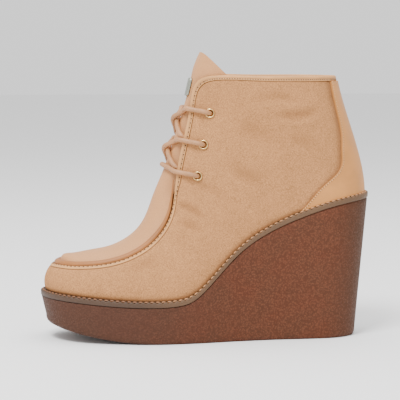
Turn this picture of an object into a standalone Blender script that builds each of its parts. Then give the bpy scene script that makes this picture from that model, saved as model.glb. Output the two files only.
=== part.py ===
"""Left lace-up ankle boot with a moccasin toe on a wedge sole.

The toe points to -X, the outer (lateral) side to -Y and up is +Z. Sizes are in metres.
The wall of the upper is a skin of ribs: each rib is a Bezier curve that rises from the
feather edge, where the upper meets the welt, to the top edge, which runs along the
moccasin seam, up the throat and round the collar. Every other piece is worked out from
that skin or from the plan of its feather edge.
"""

import math

import bmesh
import bpy
import numpy as np

# Driving sizes
BOOT_LENGTH = 0.2484
FEATHER_WIDTH = 0.0850
PLATFORM_TOP = 0.0320
HEEL_LIFT = 0.0770
UPPER_RISE = 0.1650
TOE_SPRING = 0.0140
FLAT_START = 0.0380
TOE_CURVE = 1.9

# Sole
WELT_REACH = 0.0037
WELT_THICKNESS = 0.0042
WELT_LAP = 0.0080
WELT_EDGE_ROUND = 0.0009
WEDGE_INSET = 0.0005
BEVEL_RISE = 0.0050
BEVEL_RUN = 0.0027
INSOLE_THICKNESS = 0.0030

# Upper and its trims
WALL = 0.0022
APRON_THICKNESS = 0.0020
TONGUE_GAP = 0.0010
FLAP_WIDTH = 0.0230
BEAD_WIDTH = 0.0042
BEAD_HEIGHT = 0.0038
BEAD_RAISE = 0.0005
BEAD_FADE = 0.55
SEAM_TURN = 0.25
THROAT_BAND = 0.0050
COLLAR_BAND = 0.0044
BAND_PROUD = 0.0004
BAND_ROUND = 0.0009
COUNTER_THICKNESS = 0.0009

# Eyelets, lace and plate
EYELET_COUNT = 3
EYELET_SETBACK = 0.0155
EYELET_FIRST = 0.0910
EYELET_PITCH = 0.0231
EYELET_OUTER = 0.0075
EYELET_HOLE = 0.0046
EYELET_BARREL = 0.0005
EYELET_FLANGE = 0.0009
FLANGE_EDGE = 0.45
FLANGE_LIP = 0.55
LACE_DIAMETER = 0.0037
STRAND_SHARES = (0.25, 0.5, 0.75, 1.0)
STRAND_NEAR = 0.70
STRAND_FAR = 0.82
STRAND_DROP = 0.60
ARCH_LIFT = 0.0008
PLATE_HEIGHT = 0.0140
PLATE_WIDTH = 0.0120
PLATE_THICKNESS = 0.0012
PLATE_CORNER = 0.0022
PLATE_DROP = 0.0263

# Clearances and facets
CLEAR = 0.0003
OVERLAY_CLEAR = 0.0004
COUNTER_CLEAR = 0.0005
LACE_CLEAR = 0.0005
FACET = 0.0088
WALL_ROWS = 8
ROW_CROWDING = 1.4
ARCH_COLUMNS = 10
FLAP_COLUMNS = 3
COUNTER_COLUMNS = 26
BEAD_SIDES = 8
TUBE_SIDES = 8
TUBE_STEP = 1.3
EYELET_SEGMENTS = 10
THROAT_SAMPLES = 60
CUTTER_REACH = 2.5
CLIMB_FROM = 0.96

# Plan of the feather edge. Along is a share of the upper's length from the toe, lateral and
# medial are shares of the feather width, floor_inset is how far the tread lies inside the
# welt's edge, as a share of the feather width.
FEATHER_COLUMNS = ("along", "lateral", "medial", "floor_inset")
FEATHER_ROWS = {
    "toe_tip": (0.000, -0.082, 0.082, 0.045),
    "toe_corner": (0.0145, 0.106, 0.247, 0.042),
    "toe_round": (0.052, 0.259, 0.376, 0.038),
    "toe_side": (0.118, 0.382, 0.453, 0.035),
    "vamp": (0.210, 0.459, 0.488, 0.033),
    "ball": (0.309, 0.500, 0.488, 0.028),
    "joint": (0.409, 0.494, 0.447, 0.028),
    "waist": (0.508, 0.447, 0.382, 0.030),
    "arch": (0.600, 0.398, 0.331, 0.033),
    "waist_back": (0.683, 0.370, 0.322, 0.038),
    "seat_front": (0.749, 0.360, 0.328, 0.043),
    "seat": (0.807, 0.359, 0.338, 0.048),
    "quarter": (0.857, 0.352, 0.340, 0.054),
    "heel": (0.903, 0.331, 0.331, 0.065),
    "heel_round": (0.9585, 0.253, 0.256, 0.090),
    "heel_corner": (0.991, 0.129, 0.133, 0.109),
    "heel_back": (1.000, 0.000, 0.000, 0.114),
}

# Top edge of the skin for the same ribs. Rise is a share of the upper's height over the
# platform. Low and high say where the rib's two Bezier handles stand: the share of the way
# from feather edge to top edge, and how far outward, as a share of the feather width.
TOP_COLUMNS = ("along", "lateral", "medial", "rise", "low", "low_out", "high", "high_out")
TOP_ROWS = {
    "toe_tip": (0.0249, -0.047, 0.047, 0.1485, 0.36, 0.062, 0.85, 0.052),
    "toe_corner": (0.0436, 0.129, 0.212, 0.150, 0.36, 0.063, 0.85, 0.053),
    "toe_round": (0.0788, 0.241, 0.294, 0.150, 0.35, 0.066, 0.83, 0.056),
    "toe_side": (0.143, 0.324, 0.353, 0.156, 0.35, 0.070, 0.80, 0.059),
    "vamp": (0.218, 0.347, 0.359, 0.176, 0.34, 0.076, 0.78, 0.065),
    "ball": (0.2925, 0.335, 0.335, 0.224, 0.33, 0.082, 0.75, 0.070),
    "joint": (0.3465, 0.306, 0.306, 0.294, 0.33, 0.080, 0.72, 0.070),
    "waist": (0.3826, 0.270, 0.270, 0.394, 0.33, 0.066, 0.70, 0.088),
    "arch": (0.397, 0.233, 0.233, 0.542, 0.33, 0.062, 0.70, 0.124),
    "waist_back": (0.417, 0.2035, 0.2035, 0.691, 0.33, 0.064, 0.70, 0.150),
    "seat_front": (0.4405, 0.176, 0.176, 0.845, 0.33, 0.064, 0.70, 0.162),
    "seat": (0.4580, 0.165, 0.165, 0.960, 0.33, 0.062, 0.70, 0.146),
    "quarter": (0.5085, 0.276, 0.276, 1.000, 0.33, 0.058, 0.68, 0.092),
    "heel": (0.641, 0.382, 0.382, 1.000, 0.32, 0.056, 0.68, 0.036),
    "heel_round": (0.782, 0.368, 0.368, 1.000, 0.31, 0.072, 0.69, 0.004),
    "heel_corner": (0.8735, 0.224, 0.224, 1.000, 0.31, 0.075, 0.69, -0.020),
    "heel_back": (0.9090, 0.000, 0.000, 1.000, 0.307, 0.075, 0.693, -0.026),
}

# Centre line of the apron and tongue: along and rise as above. Fullness is the power of the
# cross arch, and flap is how wide the tongue reaches behind the throat's edge, as a share of
# the flap width.
CREST_COLUMNS = ("rib", "along", "rise", "fullness", "flap")
CREST_ROWS = {
    "toe_corner": (1.0, 0.0560, 0.1880, 2.4, 0.0),
    "toe_round": (2.0, 0.0871, 0.1940, 2.5, 0.0),
    "toe_side": (3.0, 0.1432, 0.2073, 2.6, 0.0),
    "vamp": (4.0, 0.2075, 0.2273, 2.6, 0.0),
    "ball": (5.0, 0.2739, 0.2848, 2.5, 0.0),
    "joint": (6.0, 0.3120, 0.3636, 2.4, 0.0),
    "throat_base": (7.0, 0.3357, 0.4576, 2.3, 0.0),
    "low_throat": (8.0, 0.3676, 0.5697, 2.3, 0.30),
    "mid_throat": (9.0, 0.3979, 0.6970, 2.3, 0.65),
    "high_throat": (10.0, 0.4286, 0.8424, 2.3, 1.0),
    "throat_top": (11.0, 0.4510, 0.9580, 2.4, 1.0),
    "above_collar": (11.8, 0.4640, 1.0400, 2.9, 0.85),
    "peak": (12.35, 0.4842, 1.1050, 3.8, 0.60),
}
TONGUE_TOP_RIB = 12.35
DIVE_START = 7.2
DIVE_END = 7.8
BEAD_FADE_START = 5.5
BEAD_END = 7.1
BAND_START = 7.0
BAND_FULL = 8.0
COLLAR_BAND_RIB = 12.0
BINDING_START = 7.15

# Top of the sole from toe to heel: along is a share of the boot's length, lift a share of
# the heel lift over the platform.
SOLE_TOP_ROWS = (
    (0.000, 0.060),
    (0.100, 0.038),
    (0.200, 0.013),
    (0.340, 0.000),
    (0.395, 0.011),
    (0.440, 0.053),
    (0.490, 0.186),
    (0.539, 0.355),
    (0.588, 0.508),
    (0.637, 0.623),
    (0.709, 0.746),
    (0.782, 0.843),
    (0.880, 0.941),
    (1.000, 1.004),
)

# Front edge of the heel counter: rib number where it stands at each share of the height.
COUNTER_EDGE_ROWS = (
    (0.0, 10.55),
    (0.064, 11.7),
    (0.157, 13.1),
    (0.350, 14.05),
    (0.487, 14.4),
    (0.727, 14.75),
    (1.0, 15.0),
)

# Colours from the photograph
COLOURS = {
    "suede": (0.62, 0.41, 0.26, 0.92),
    "nubuck": (0.74, 0.50, 0.34, 0.75),
    "leather": (0.55, 0.34, 0.19, 0.50),
    "crepe": (0.24, 0.10, 0.05, 0.70),
    "welt": (0.40, 0.22, 0.11, 0.60),
    "lining": (0.55, 0.38, 0.25, 0.85),
    "lace": (0.58, 0.38, 0.23, 0.80),
    "brass": (0.75, 0.60, 0.36, 0.30),
    "plate": (0.42, 0.43, 0.38, 0.35),
}
METALS = ("brass", "plate")


class Spline:
    """Smooth curve through knots: natural at its ends, or closed when a period is given."""

    def __init__(self, knots, values, period=None):
        self.knots = np.asarray(knots, dtype=float)
        self.values = np.asarray(values, dtype=float).reshape(len(self.knots), -1)
        self.period = period
        if period:
            self.knots = np.append(self.knots, self.knots[0] + period)
            self.values = np.vstack([self.values, self.values[:1]])
        self.bends = self._solve()

    def _solve(self):
        """Second derivatives that make the curve's slope and bend continuous."""
        gaps = np.diff(self.knots)
        slopes = np.diff(self.values, axis=0) / gaps[:, None]
        count = len(self.knots)
        matrix = np.zeros((count, count))
        right = np.zeros((count, self.values.shape[1]))
        for i in range(1, count - 1):
            matrix[i, i - 1 : i + 2] = gaps[i - 1], 2 * (gaps[i - 1] + gaps[i]), gaps[i]
            right[i] = 6 * (slopes[i] - slopes[i - 1])
        if self.period:
            matrix[0, 0], matrix[0, -1] = 1, -1
            matrix[-1, 0], matrix[-1, 1] = 2 * gaps[0], gaps[0]
            matrix[-1, -2], matrix[-1, -1] = gaps[-1], 2 * gaps[-1]
            right[-1] = 6 * (slopes[0] - slopes[-1])
        else:
            matrix[0, 0] = matrix[-1, -1] = 1
        return np.linalg.solve(matrix, right)

    def __call__(self, at):
        """Point of the curve at one parameter."""
        if self.period:
            at = self.knots[0] + (at - self.knots[0]) % self.period
        i = int(np.clip(np.searchsorted(self.knots, at) - 1, 0, len(self.knots) - 2))
        gap = self.knots[i + 1] - self.knots[i]
        b = (at - self.knots[i]) / gap
        a = 1 - b
        blend = (a**3 - a) * self.bends[i] + (b**3 - b) * self.bends[i + 1]
        return a * self.values[i] + b * self.values[i + 1] + blend * gap**2 / 6


def unit(vector):
    """Vector of length one."""
    return vector / np.linalg.norm(vector)


def ramp(value, low, high):
    """Share of the way from low to high, held at 0 and 1."""
    return min(1.0, max(0.0, (value - low) / (high - low)))


UPPER_LENGTH = BOOT_LENGTH - 2 * WELT_REACH
RIB_NAMES = list(FEATHER_ROWS)
RIB_COUNT = len(RIB_NAMES)


def along_upper(share):
    """X of a share of the upper's length, from its toe."""
    return (share - 0.5) * UPPER_LENGTH


SOLE_TOP = Spline([row[0] for row in SOLE_TOP_ROWS], [row[1] for row in SOLE_TOP_ROWS])


def sole_top(x):
    """Height of the welt's top at x."""
    share = min(1.0, max(0.0, x / BOOT_LENGTH + 0.5))
    return PLATFORM_TOP + HEEL_LIFT * float(SOLE_TOP(share)[0])


def tread(x):
    """Height of the tread at x: flat, with the toe curved up."""
    reach = BOOT_LENGTH / 2 - FLAT_START
    return TOE_SPRING * ramp(-x - FLAT_START, 0.0, reach) ** TOE_CURVE


def feather_point(name, side):
    """Feather edge of one rib on one side, -1 lateral or 1 medial."""
    row = dict(zip(FEATHER_COLUMNS, FEATHER_ROWS[name]))
    x = along_upper(row["along"])
    share = row["lateral"] if side < 0 else row["medial"]
    return np.array([x, side * share * FEATHER_WIDTH, sole_top(x) + CLEAR])


def top_point(name, side):
    """Top edge of one rib on one side."""
    row = dict(zip(TOP_COLUMNS, TOP_ROWS[name]))
    share = row["lateral"] if side < 0 else row["medial"]
    height = PLATFORM_TOP + row["rise"] * UPPER_RISE
    return np.array([along_upper(row["along"]), side * share * FEATHER_WIDTH, height])


def loop_order():
    """Ribs in order round the boot: toe, lateral side, heel, medial side."""
    lateral = [(name, -1) for name in RIB_NAMES]
    medial = [(name, 1) for name in RIB_NAMES[-2:0:-1]]
    return lateral + medial


def rib_knots():
    """Parameter of each rib, from the mean length of the gaps between ribs."""
    knots = [0.0]
    for first, second in zip(RIB_NAMES, RIB_NAMES[1:]):
        lengths = []
        for side in (-1, 1):
            lengths.append(np.linalg.norm(feather_point(second, side) - feather_point(first, side)))
            lengths.append(np.linalg.norm(top_point(second, side) - top_point(first, side)))
        knots.append(knots[-1] + math.sqrt(np.mean(lengths)))
    return knots


KNOTS = rib_knots()
SIDE_SPAN = KNOTS[-1]
LANE_STEP = SIDE_SPAN * 1e-3
LOOP_KNOTS = KNOTS + [2 * SIDE_SPAN - knot for knot in KNOTS[-2:0:-1]]


def closed_spline(points):
    """Closed curve through one point of each rib, in loop order."""
    return Spline(LOOP_KNOTS, points, period=2 * SIDE_SPAN)


def rib_at(number):
    """Parameter of a rib number, which may lie between two ribs."""
    return float(np.interp(number, range(RIB_COUNT), KNOTS))


def mirrored(lane, side):
    """Loop parameter of a lateral lane on the given side."""
    return lane if side < 0 else 2 * SIDE_SPAN - lane


FEATHER = closed_spline([feather_point(name, side) for name, side in loop_order()])


def plan_normal(lane):
    """Outward direction of the feather edge, in plan."""
    run = FEATHER(lane + LANE_STEP) - FEATHER(lane - LANE_STEP)
    return unit(np.array([run[1], -run[0], 0.0]))


def plan_point(lane, outward):
    """Point of the feather's plan moved outward; its height is left at zero."""
    point = FEATHER(lane) + outward * plan_normal(lane)
    return np.array([point[0], point[1], 0.0])


def handle(name, side, knot, which):
    """Bezier handle of one rib: low or high."""
    row = dict(zip(TOP_COLUMNS, TOP_ROWS[name]))
    foot, head = feather_point(name, side), top_point(name, side)
    out = plan_normal(knot) * row[which + "_out"] * FEATHER_WIDTH
    return foot + (head - foot) * row[which] + out


LOW_HANDLE = closed_spline([handle(n, s, k, "low") for (n, s), k in zip(loop_order(), LOOP_KNOTS)])
HIGH_HANDLE = closed_spline([handle(n, s, k, "high") for (n, s), k in zip(loop_order(), LOOP_KNOTS)])
TOP_EDGE = closed_spline([top_point(name, side) for name, side in loop_order()])
RIB_SAMPLES = np.linspace(0.0, 1.0, 33)


def rib_curve(lane):
    """Points of the rib at a lane, and their distances from its foot."""
    foot = FEATHER(lane)
    foot[2] = sole_top(foot[0]) + CLEAR
    corners = (foot, LOW_HANDLE(lane), HIGH_HANDLE(lane), TOP_EDGE(lane))
    t = RIB_SAMPLES[:, None]
    weights = ((1 - t) ** 3, 3 * t * (1 - t) ** 2, 3 * t**2 * (1 - t), t**3)
    points = sum(weight * corner for weight, corner in zip(weights, corners))
    lengths = np.append(0.0, np.cumsum(np.linalg.norm(np.diff(points, axis=0), axis=1)))
    return points, lengths


RIB_CACHE = {}


def rib(lane):
    """Rib curve, kept for lanes that are asked for again."""
    key = round(lane, 9)
    if key not in RIB_CACHE:
        RIB_CACHE[key] = rib_curve(lane)
    return RIB_CACHE[key]


def skin(lane, share):
    """Point of the outer skin at a share of the rib's length."""
    points, lengths = rib(lane)
    at = share * lengths[-1]
    return np.array([np.interp(at, lengths, points[:, axis]) for axis in range(3)])


def skin_normal(lane, share):
    """Outward direction of the skin."""
    step, rise = 2 * LANE_STEP, 0.02
    low, high = max(0.0, share - rise), min(1.0, share + rise)
    run = skin(lane + step, share) - skin(lane - step, share)
    climb = skin(lane, high) - skin(lane, low)
    return unit(np.cross(run, climb))


def layer(lane, share, depth):
    """Point at a height over the skin, or under it when negative."""
    if share <= 0.0:
        point = plan_point(lane, depth)
        point[2] = sole_top(point[0]) + CLEAR
        return point
    return skin(lane, share) + depth * skin_normal(lane, share)


def share_below(lane, drop):
    """Share of the rib at a distance below its top edge."""
    return 1.0 - drop / rib(lane)[1][-1]


def band(lane):
    """Width of the trim along the top edge: none at the toe seam, wider at the collar."""
    near = min(lane % (2 * SIDE_SPAN), 2 * SIDE_SPAN - lane % (2 * SIDE_SPAN))
    throat = ramp(near, rib_at(BAND_START), rib_at(BAND_FULL)) * THROAT_BAND
    collar = ramp(near, rib_at(COLLAR_BAND_RIB - 1), rib_at(COLLAR_BAND_RIB))
    return throat + collar * (COLLAR_BAND - THROAT_BAND)


def wall_share(lane, row_share):
    """Share of the rib for a share of the wall's own height, under its trim."""
    trim = band(lane)
    drop = trim + CLEAR if trim > 0 else 0.0
    return row_share * share_below(lane, drop)


def row_shares():
    """Shares of the wall's height for its rows, crowded towards the feather edge."""
    return [(i / WALL_ROWS) ** ROW_CROWDING for i in range(WALL_ROWS + 1)]


def side_lanes(start=0, end=RIB_COUNT - 1):
    """Lanes of one side between two ribs, in steps of about one facet."""
    lanes = [rib_at(start)]
    for number in range(math.floor(start), math.ceil(end)):
        low, high = max(start, number), min(end, number + 1)
        first, second = rib_at(low), rib_at(high)
        foot = np.linalg.norm(FEATHER(second) - FEATHER(first))
        head = np.linalg.norm(TOP_EDGE(second) - TOP_EDGE(first))
        steps = max(1, math.ceil((foot + head) / 2 / FACET))
        lanes += list(np.linspace(first, second, steps + 1)[1:])
    return lanes


def loop_lanes():
    """Lanes once round the boot, the medial side matched to the lateral."""
    side = side_lanes()
    return side + [2 * SIDE_SPAN - lane for lane in side[-2:0:-1]]


def wall_lane_at(x, z, side):
    """Lane and share where the skin stands at x and z, found by Newton steps."""
    lane, share = mirrored(rib_at(10), side), 0.75
    for _ in range(12):
        miss = (skin(lane, share) - np.array([x, 0.0, z]))[[0, 2]]
        rise = 1e-3
        by_lane = (skin(lane + LANE_STEP, share) - skin(lane - LANE_STEP, share))[[0, 2]]
        by_lane /= 2 * LANE_STEP
        by_share = (skin(lane, share + rise) - skin(lane, share - rise))[[0, 2]] / (2 * rise)
        change = np.linalg.solve(np.column_stack([by_lane, by_share]), miss)
        lane, share = lane - change[0], share - change[1]
    return lane, share


CREST_KNOTS = [0.0] + [rib_at(row[0]) for row in CREST_ROWS.values()]


def edge_climb(lane):
    """Direction in which the skin meets its top edge."""
    return unit(skin(lane, 1.0) - skin(lane, CLIMB_FROM))


def bead_centre(lane):
    """Centre of the raised seam, beyond the wall's top edge."""
    return layer(lane, 1.0, -WALL / 2) + edge_climb(lane) * (CLEAR + BEAD_WIDTH / 2)


def apron_side(lane, crest_point):
    """Edge of the apron, on the far side of the raised seam."""
    centre = bead_centre(lane)
    across = unit(crest_point - centre)
    inward = unit(across * (1 - SEAM_TURN) + edge_climb(lane) * SEAM_TURN)
    return centre + inward * (BEAD_WIDTH / 2 + CLEAR)


def crest_row_point(name):
    """Crest of one row of the table."""
    row = dict(zip(CREST_COLUMNS, CREST_ROWS[name]))
    return np.array([along_upper(row["along"]), 0.0, PLATFORM_TOP + row["rise"] * UPPER_RISE])


CREST_POINTS = [crest_row_point(name) for name in CREST_ROWS]
SEAM_AIM = Spline(CREST_KNOTS[1:], CREST_POINTS)


def seam_side(lane, side):
    """Apron's edge beside the raised seam, aimed at the middle of the apron."""
    return apron_side(mirrored(lane, side), SEAM_AIM(max(lane, KNOTS[2])))


CREST = Spline(CREST_KNOTS, [seam_side(0.0, -1)] + CREST_POINTS)


def crest_value(lane, column):
    """Value of one column of the crest table between its rows."""
    index = CREST_COLUMNS.index(column)
    values = [row[index] for row in CREST_ROWS.values()]
    return float(np.interp(lane, CREST_KNOTS, values[:1] + values))


def front_edge(lane, side):
    """Where the apron ends at the raised seam, or where the tongue passes the throat's edge."""
    here = mirrored(lane, side)
    seam = seam_side(lane, side)
    under = layer(here, 1.0, -(WALL + TONGUE_GAP))
    dive = ramp(lane, rib_at(DIVE_START), rib_at(DIVE_END))
    return seam + (under - seam) * dive


def front_arch(lane, across):
    """Point of the apron or tongue, from -1 at its lateral edge to 1 at its medial edge."""
    lateral, medial = front_edge(lane, -1), front_edge(lane, 1)
    middle = (lateral + medial) / 2
    swell = 1 - abs(across) ** crest_value(lane, "fullness")
    crest = CREST(lane)
    crest[1] = middle[1]
    return middle + (medial - lateral) / 2 * across + (crest - middle) * swell


def flap_points(lane, side):
    """Tongue's flap behind the wall, from its free edge to the throat's edge."""
    here = mirrored(lane, side)
    width = crest_value(lane, "flap") * FLAP_WIDTH * ramp(lane, rib_at(DIVE_END), rib_at(8))
    points = []
    for i in range(FLAP_COLUMNS):
        drop = width * (1 - i / FLAP_COLUMNS)
        points.append(layer(here, share_below(here, drop), -(WALL + TONGUE_GAP)))
    return points if width > 0 else [front_edge(lane, side)] * FLAP_COLUMNS


def front_section(lane):
    """One cross line of the apron and tongue, lateral to medial."""
    arch = [front_arch(lane, a) for a in np.linspace(-1, 1, ARCH_COLUMNS + 1)]
    medial = flap_points(lane, 1)
    return np.array(flap_points(lane, -1) + arch + medial[::-1])


def grid_normals(grid):
    """Outward directions of a grid of points, taken from its neighbours."""
    rows, columns = grid.shape[:2]
    normals = np.zeros_like(grid)
    first, last = FLAP_COLUMNS, columns - 1 - FLAP_COLUMNS
    for i in range(rows):
        low, high = grid[max(i - 1, 0)], grid[min(i + 1, rows - 1)]
        bare = np.allclose(grid[i][0], grid[i][first])
        for j in range(columns):
            k = min(max(j, first), last) if bare else j
            left = max(k - 1, first if bare else 0)
            right = min(k + 1, last if bare else columns - 1)
            across = grid[i][right] - grid[i][left]
            if np.linalg.norm(across) < 1e-6:
                across = grid[i + 1][right] - grid[i + 1][left]
            normals[i][j] = unit(np.cross(high[k] - low[k], across))
    return normals


def material(name):
    """Principled material in one of the boot's colours."""
    made = bpy.data.materials.get(name)
    if made is None:
        made = bpy.data.materials.new(name)
        made.use_nodes = True
        red, green, blue, rough = COLOURS[name]
        shader = made.node_tree.nodes["Principled BSDF"]
        shader.inputs["Base Color"].default_value = (red, green, blue, 1.0)
        shader.inputs["Roughness"].default_value = rough
        shader.inputs["Metallic"].default_value = 1.0 if name in METALS else 0.0
    return made


def make_solid(name, points, faces, colour):
    """Closed mesh object with its faces pointing out."""
    mesh = bpy.data.meshes.new(name)
    mesh.from_pydata([tuple(p) for p in points], [], faces)
    work = bmesh.new()
    work.from_mesh(mesh)
    bmesh.ops.remove_doubles(work, verts=work.verts, dist=1e-6)
    bmesh.ops.dissolve_degenerate(work, edges=work.edges, dist=1e-6)
    bmesh.ops.triangulate(work, faces=work.faces, quad_method="SHORT_EDGE")
    bmesh.ops.recalc_face_normals(work, faces=work.faces)
    work.to_mesh(mesh)
    work.free()
    mesh.materials.append(material(colour))
    mesh.shade_smooth()
    mesh.set_sharp_from_angle(angle=math.radians(40))
    made = bpy.data.objects.new(name, mesh)
    bpy.context.scene.collection.objects.link(made)
    return made


def section_solid(name, sections, colour, closed):
    """Solid through equal cross sections, closed on itself or with flat ends."""
    count, sides = len(sections), len(sections[0])
    points = [p for section in sections for p in section]
    faces = []
    for i in range(count if closed else count - 1):
        k = (i + 1) % count
        for j in range(sides):
            n = (j + 1) % sides
            faces.append((i * sides + j, i * sides + n, k * sides + n, k * sides + j))
    if not closed:
        faces.append(tuple(range(sides)))
        faces.append(tuple((count - 1) * sides + j for j in range(sides)))
    return make_solid(name, points, faces, colour)


def sheet_solid(name, outer, inner, colour):
    """Solid between two matched grids of points."""
    rows, columns = len(outer), len(outer[0])
    points = [p for grid in (outer, inner) for row in grid for p in row]
    offset = rows * columns

    def at(i, j, level):
        return level * offset + i * columns + j

    faces = []
    for level in (0, 1):
        for i in range(rows - 1):
            for j in range(columns - 1):
                near = (at(i, j, level), at(i, j + 1, level))
                far = (at(i + 1, j + 1, level), at(i + 1, j, level))
                faces.append(near + far)
    for i in range(rows - 1):
        for j in (0, columns - 1):
            faces.append((at(i, j, 0), at(i + 1, j, 0), at(i + 1, j, 1), at(i, j, 1)))
    for j in range(columns - 1):
        for i in (0, rows - 1):
            faces.append((at(i, j, 0), at(i, j + 1, 0), at(i, j + 1, 1), at(i, j, 1)))
    return make_solid(name, points, faces, colour)


def stacked_solid(name, loops, colour):
    """Solid of matched loops stacked in order, its two ends filled across from side to side."""
    count = len(loops[0])
    half = count // 2
    points = [p for loop in loops for p in loop]
    faces = []
    for level in range(len(loops) - 1):
        for i in range(count):
            k = (i + 1) % count
            low, high = level * count, (level + 1) * count
            faces.append((low + i, low + k, high + k, high + i))
    for base in (0, (len(loops) - 1) * count):
        faces.append((base, base + 1, base + count - 1))
        for i in range(1, half - 1):
            faces.append((base + i, base + i + 1, base + count - i - 1, base + count - i))
        faces.append((base + half - 1, base + half, base + half + 1))
    return make_solid(name, points, faces, colour)


def sole_loop(outward, drop):
    """Loop at a distance outside the feather edge and below the sole's top."""
    loop = []
    for lane in loop_lanes():
        point = plan_point(lane, outward)
        point[2] = sole_top(point[0]) - drop
        loop.append(point)
    return loop


FLOOR_INSET = closed_spline([[FEATHER_ROWS[name][3]] for name, _ in loop_order()])


def tread_loop(extra_inset, rise):
    """Loop near the floor, inside the welt's edge."""
    loop = []
    for lane in loop_lanes():
        inset = float(FLOOR_INSET(lane)[0]) * FEATHER_WIDTH + extra_inset
        point = plan_point(lane, WELT_REACH - inset)
        point[2] = tread(point[0]) + rise
        loop.append(point)
    return loop


def build_wedge():
    """Wedge and platform in one block, with a raised bed inside the welt."""
    side_top = sole_loop(WELT_REACH - WEDGE_INSET, WELT_THICKNESS + CLEAR)
    bevel = tread_loop(0.0, BEVEL_RISE)
    middle = [(np.array(a) + np.array(b)) / 2 for a, b in zip(side_top, bevel)]
    bed = -(WELT_LAP + CLEAR)
    loops = [
        tread_loop(BEVEL_RUN, 0.0),
        bevel,
        middle,
        side_top,
        sole_loop(bed, WELT_THICKNESS + CLEAR),
        sole_loop(bed, 0.0),
    ]
    return stacked_solid("wedge_sole", loops, "crepe")


def build_welt():
    """Strip round the sole that the upper stands on."""
    outer, inner, drop = WELT_REACH, -WELT_LAP, WELT_THICKNESS
    corners = (
        (outer - WELT_EDGE_ROUND, 0.0),
        (outer, WELT_EDGE_ROUND),
        (outer, drop),
        (inner, drop),
        (inner, 0.0),
    )
    loops = [sole_loop(outward, below) for outward, below in corners]
    return section_solid("welt", list(zip(*loops)), "welt", closed=True)


def build_insole():
    """Insole board and sock lining, inside the wall."""
    edge = -(WALL + 2 * CLEAR)
    loops = [sole_loop(edge, -CLEAR), sole_loop(edge, -INSOLE_THICKNESS)]
    return stacked_solid("insole", loops, "lining")


def build_upper():
    """Vamp and quarters: one wall, open along the top edge and underneath."""
    sections = []
    for lane in loop_lanes():
        shares = [wall_share(lane, share) for share in row_shares()]
        outer = [layer(lane, share, 0.0) for share in shares]
        inner = [layer(lane, share, -WALL) for share in reversed(shares)]
        sections.append(outer + inner)
    return section_solid("upper", sections, "suede", closed=True)


def build_apron_tongue():
    """Moccasin plug that runs on as the tongue, behind the throat's edges."""
    lanes = side_lanes(0, TONGUE_TOP_RIB)
    grid = np.array([front_section(lane) for lane in lanes])
    inner = grid - grid_normals(grid) * APRON_THICKNESS
    inner[0] = inner[0][FLAP_COLUMNS + ARCH_COLUMNS // 2]
    return sheet_solid("apron_tongue", grid, inner, "nubuck")


def build_bead():
    """Raised seam between vamp and apron, fading out at the foot of the throat."""
    side = side_lanes(0, BEAD_END)
    lanes = [2 * SIDE_SPAN - lane for lane in side[:0:-1]] + side
    sections = []
    for lane in lanes:
        near = min(lane, 2 * SIDE_SPAN - lane)
        size = 1 - BEAD_FADE * ramp(near, rib_at(BEAD_FADE_START), rib_at(BEAD_END))
        climb = edge_climb(lane)
        out = skin_normal(lane, 1.0)
        centre = bead_centre(lane) + out * BEAD_RAISE
        angles = [2 * math.pi * k / BEAD_SIDES for k in range(BEAD_SIDES)]
        ring = []
        for angle in angles:
            width = math.cos(angle) * BEAD_WIDTH / 2 * size
            height = math.sin(angle) * BEAD_HEIGHT / 2 * size
            ring.append(centre + climb * width + out * height)
        sections.append(ring)
    return section_solid("apron_ridge", sections, "leather", closed=False)


def build_binding():
    """Binding along the throat's edges and round the collar."""
    side = side_lanes(BINDING_START, RIB_COUNT - 1)
    lanes = side + [2 * SIDE_SPAN - lane for lane in side[-2::-1]]
    sections = []
    for lane in lanes:
        width = band(lane)
        low = -(WALL + BAND_PROUD)
        edge = min(BAND_ROUND, width / 3)
        corners = (
            (width, BAND_PROUD),
            (edge, BAND_PROUD),
            (0.0, BAND_PROUD - edge),
            (0.0, low + edge),
            (edge, low),
            (width, low),
        )
        sections.append([layer(lane, share_below(lane, drop), depth) for drop, depth in corners])
    return section_solid("collar_binding", sections, "leather", closed=False)


def build_counter():
    """Smooth leather heel counter and back stay, laid over the wall."""
    heights = [row[0] for row in COUNTER_EDGE_ROWS]
    ribs = [row[1] for row in COUNTER_EDGE_ROWS]
    grids = []
    for depth in (COUNTER_CLEAR + COUNTER_THICKNESS, COUNTER_CLEAR):
        grid = []
        for height in row_shares():
            edge = rib_at(float(np.interp(height, heights, ribs)))
            row = []
            for j in range(COUNTER_COLUMNS + 1):
                across = 2 * j / COUNTER_COLUMNS - 1
                lane = SIDE_SPAN + across * (SIDE_SPAN - edge)
                row.append(layer(lane, wall_share(lane, height), depth))
            grid.append(row)
        grids.append(grid)
    return sheet_solid("heel_counter", grids[0], grids[1], "leather")


def eyelet_frame(number, side):
    """Centre and outward direction of one eyelet on the wall's outer face."""
    height = PLATFORM_TOP + EYELET_FIRST + number * EYELET_PITCH
    lanes = np.linspace(rib_at(7), rib_at(11), THROAT_SAMPLES)
    edge = [TOP_EDGE(lane) for lane in lanes]
    throat_x = np.interp(height, [p[2] for p in edge], [p[0] for p in edge])
    lane, share = wall_lane_at(throat_x + EYELET_SETBACK, height, side)
    return skin(lane, share), skin_normal(lane, share)


def axes_round(direction):
    """Two directions square to the given one."""
    first = unit(np.cross(direction, np.array([0.0, 0.0, 1.0])))
    return first, np.cross(direction, first)


def turned_solid(name, centre, direction, profile, segments, colour):
    """Ring turned about an axis from a closed profile of radius and height."""
    first, second = axes_round(direction)
    sections = []
    for k in range(segments):
        angle = 2 * math.pi * k / segments
        radial = math.cos(angle) * first + math.sin(angle) * second
        sections.append([centre + radial * radius + direction * height for radius, height in profile])
    return section_solid(name, sections, colour, closed=True)


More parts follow.
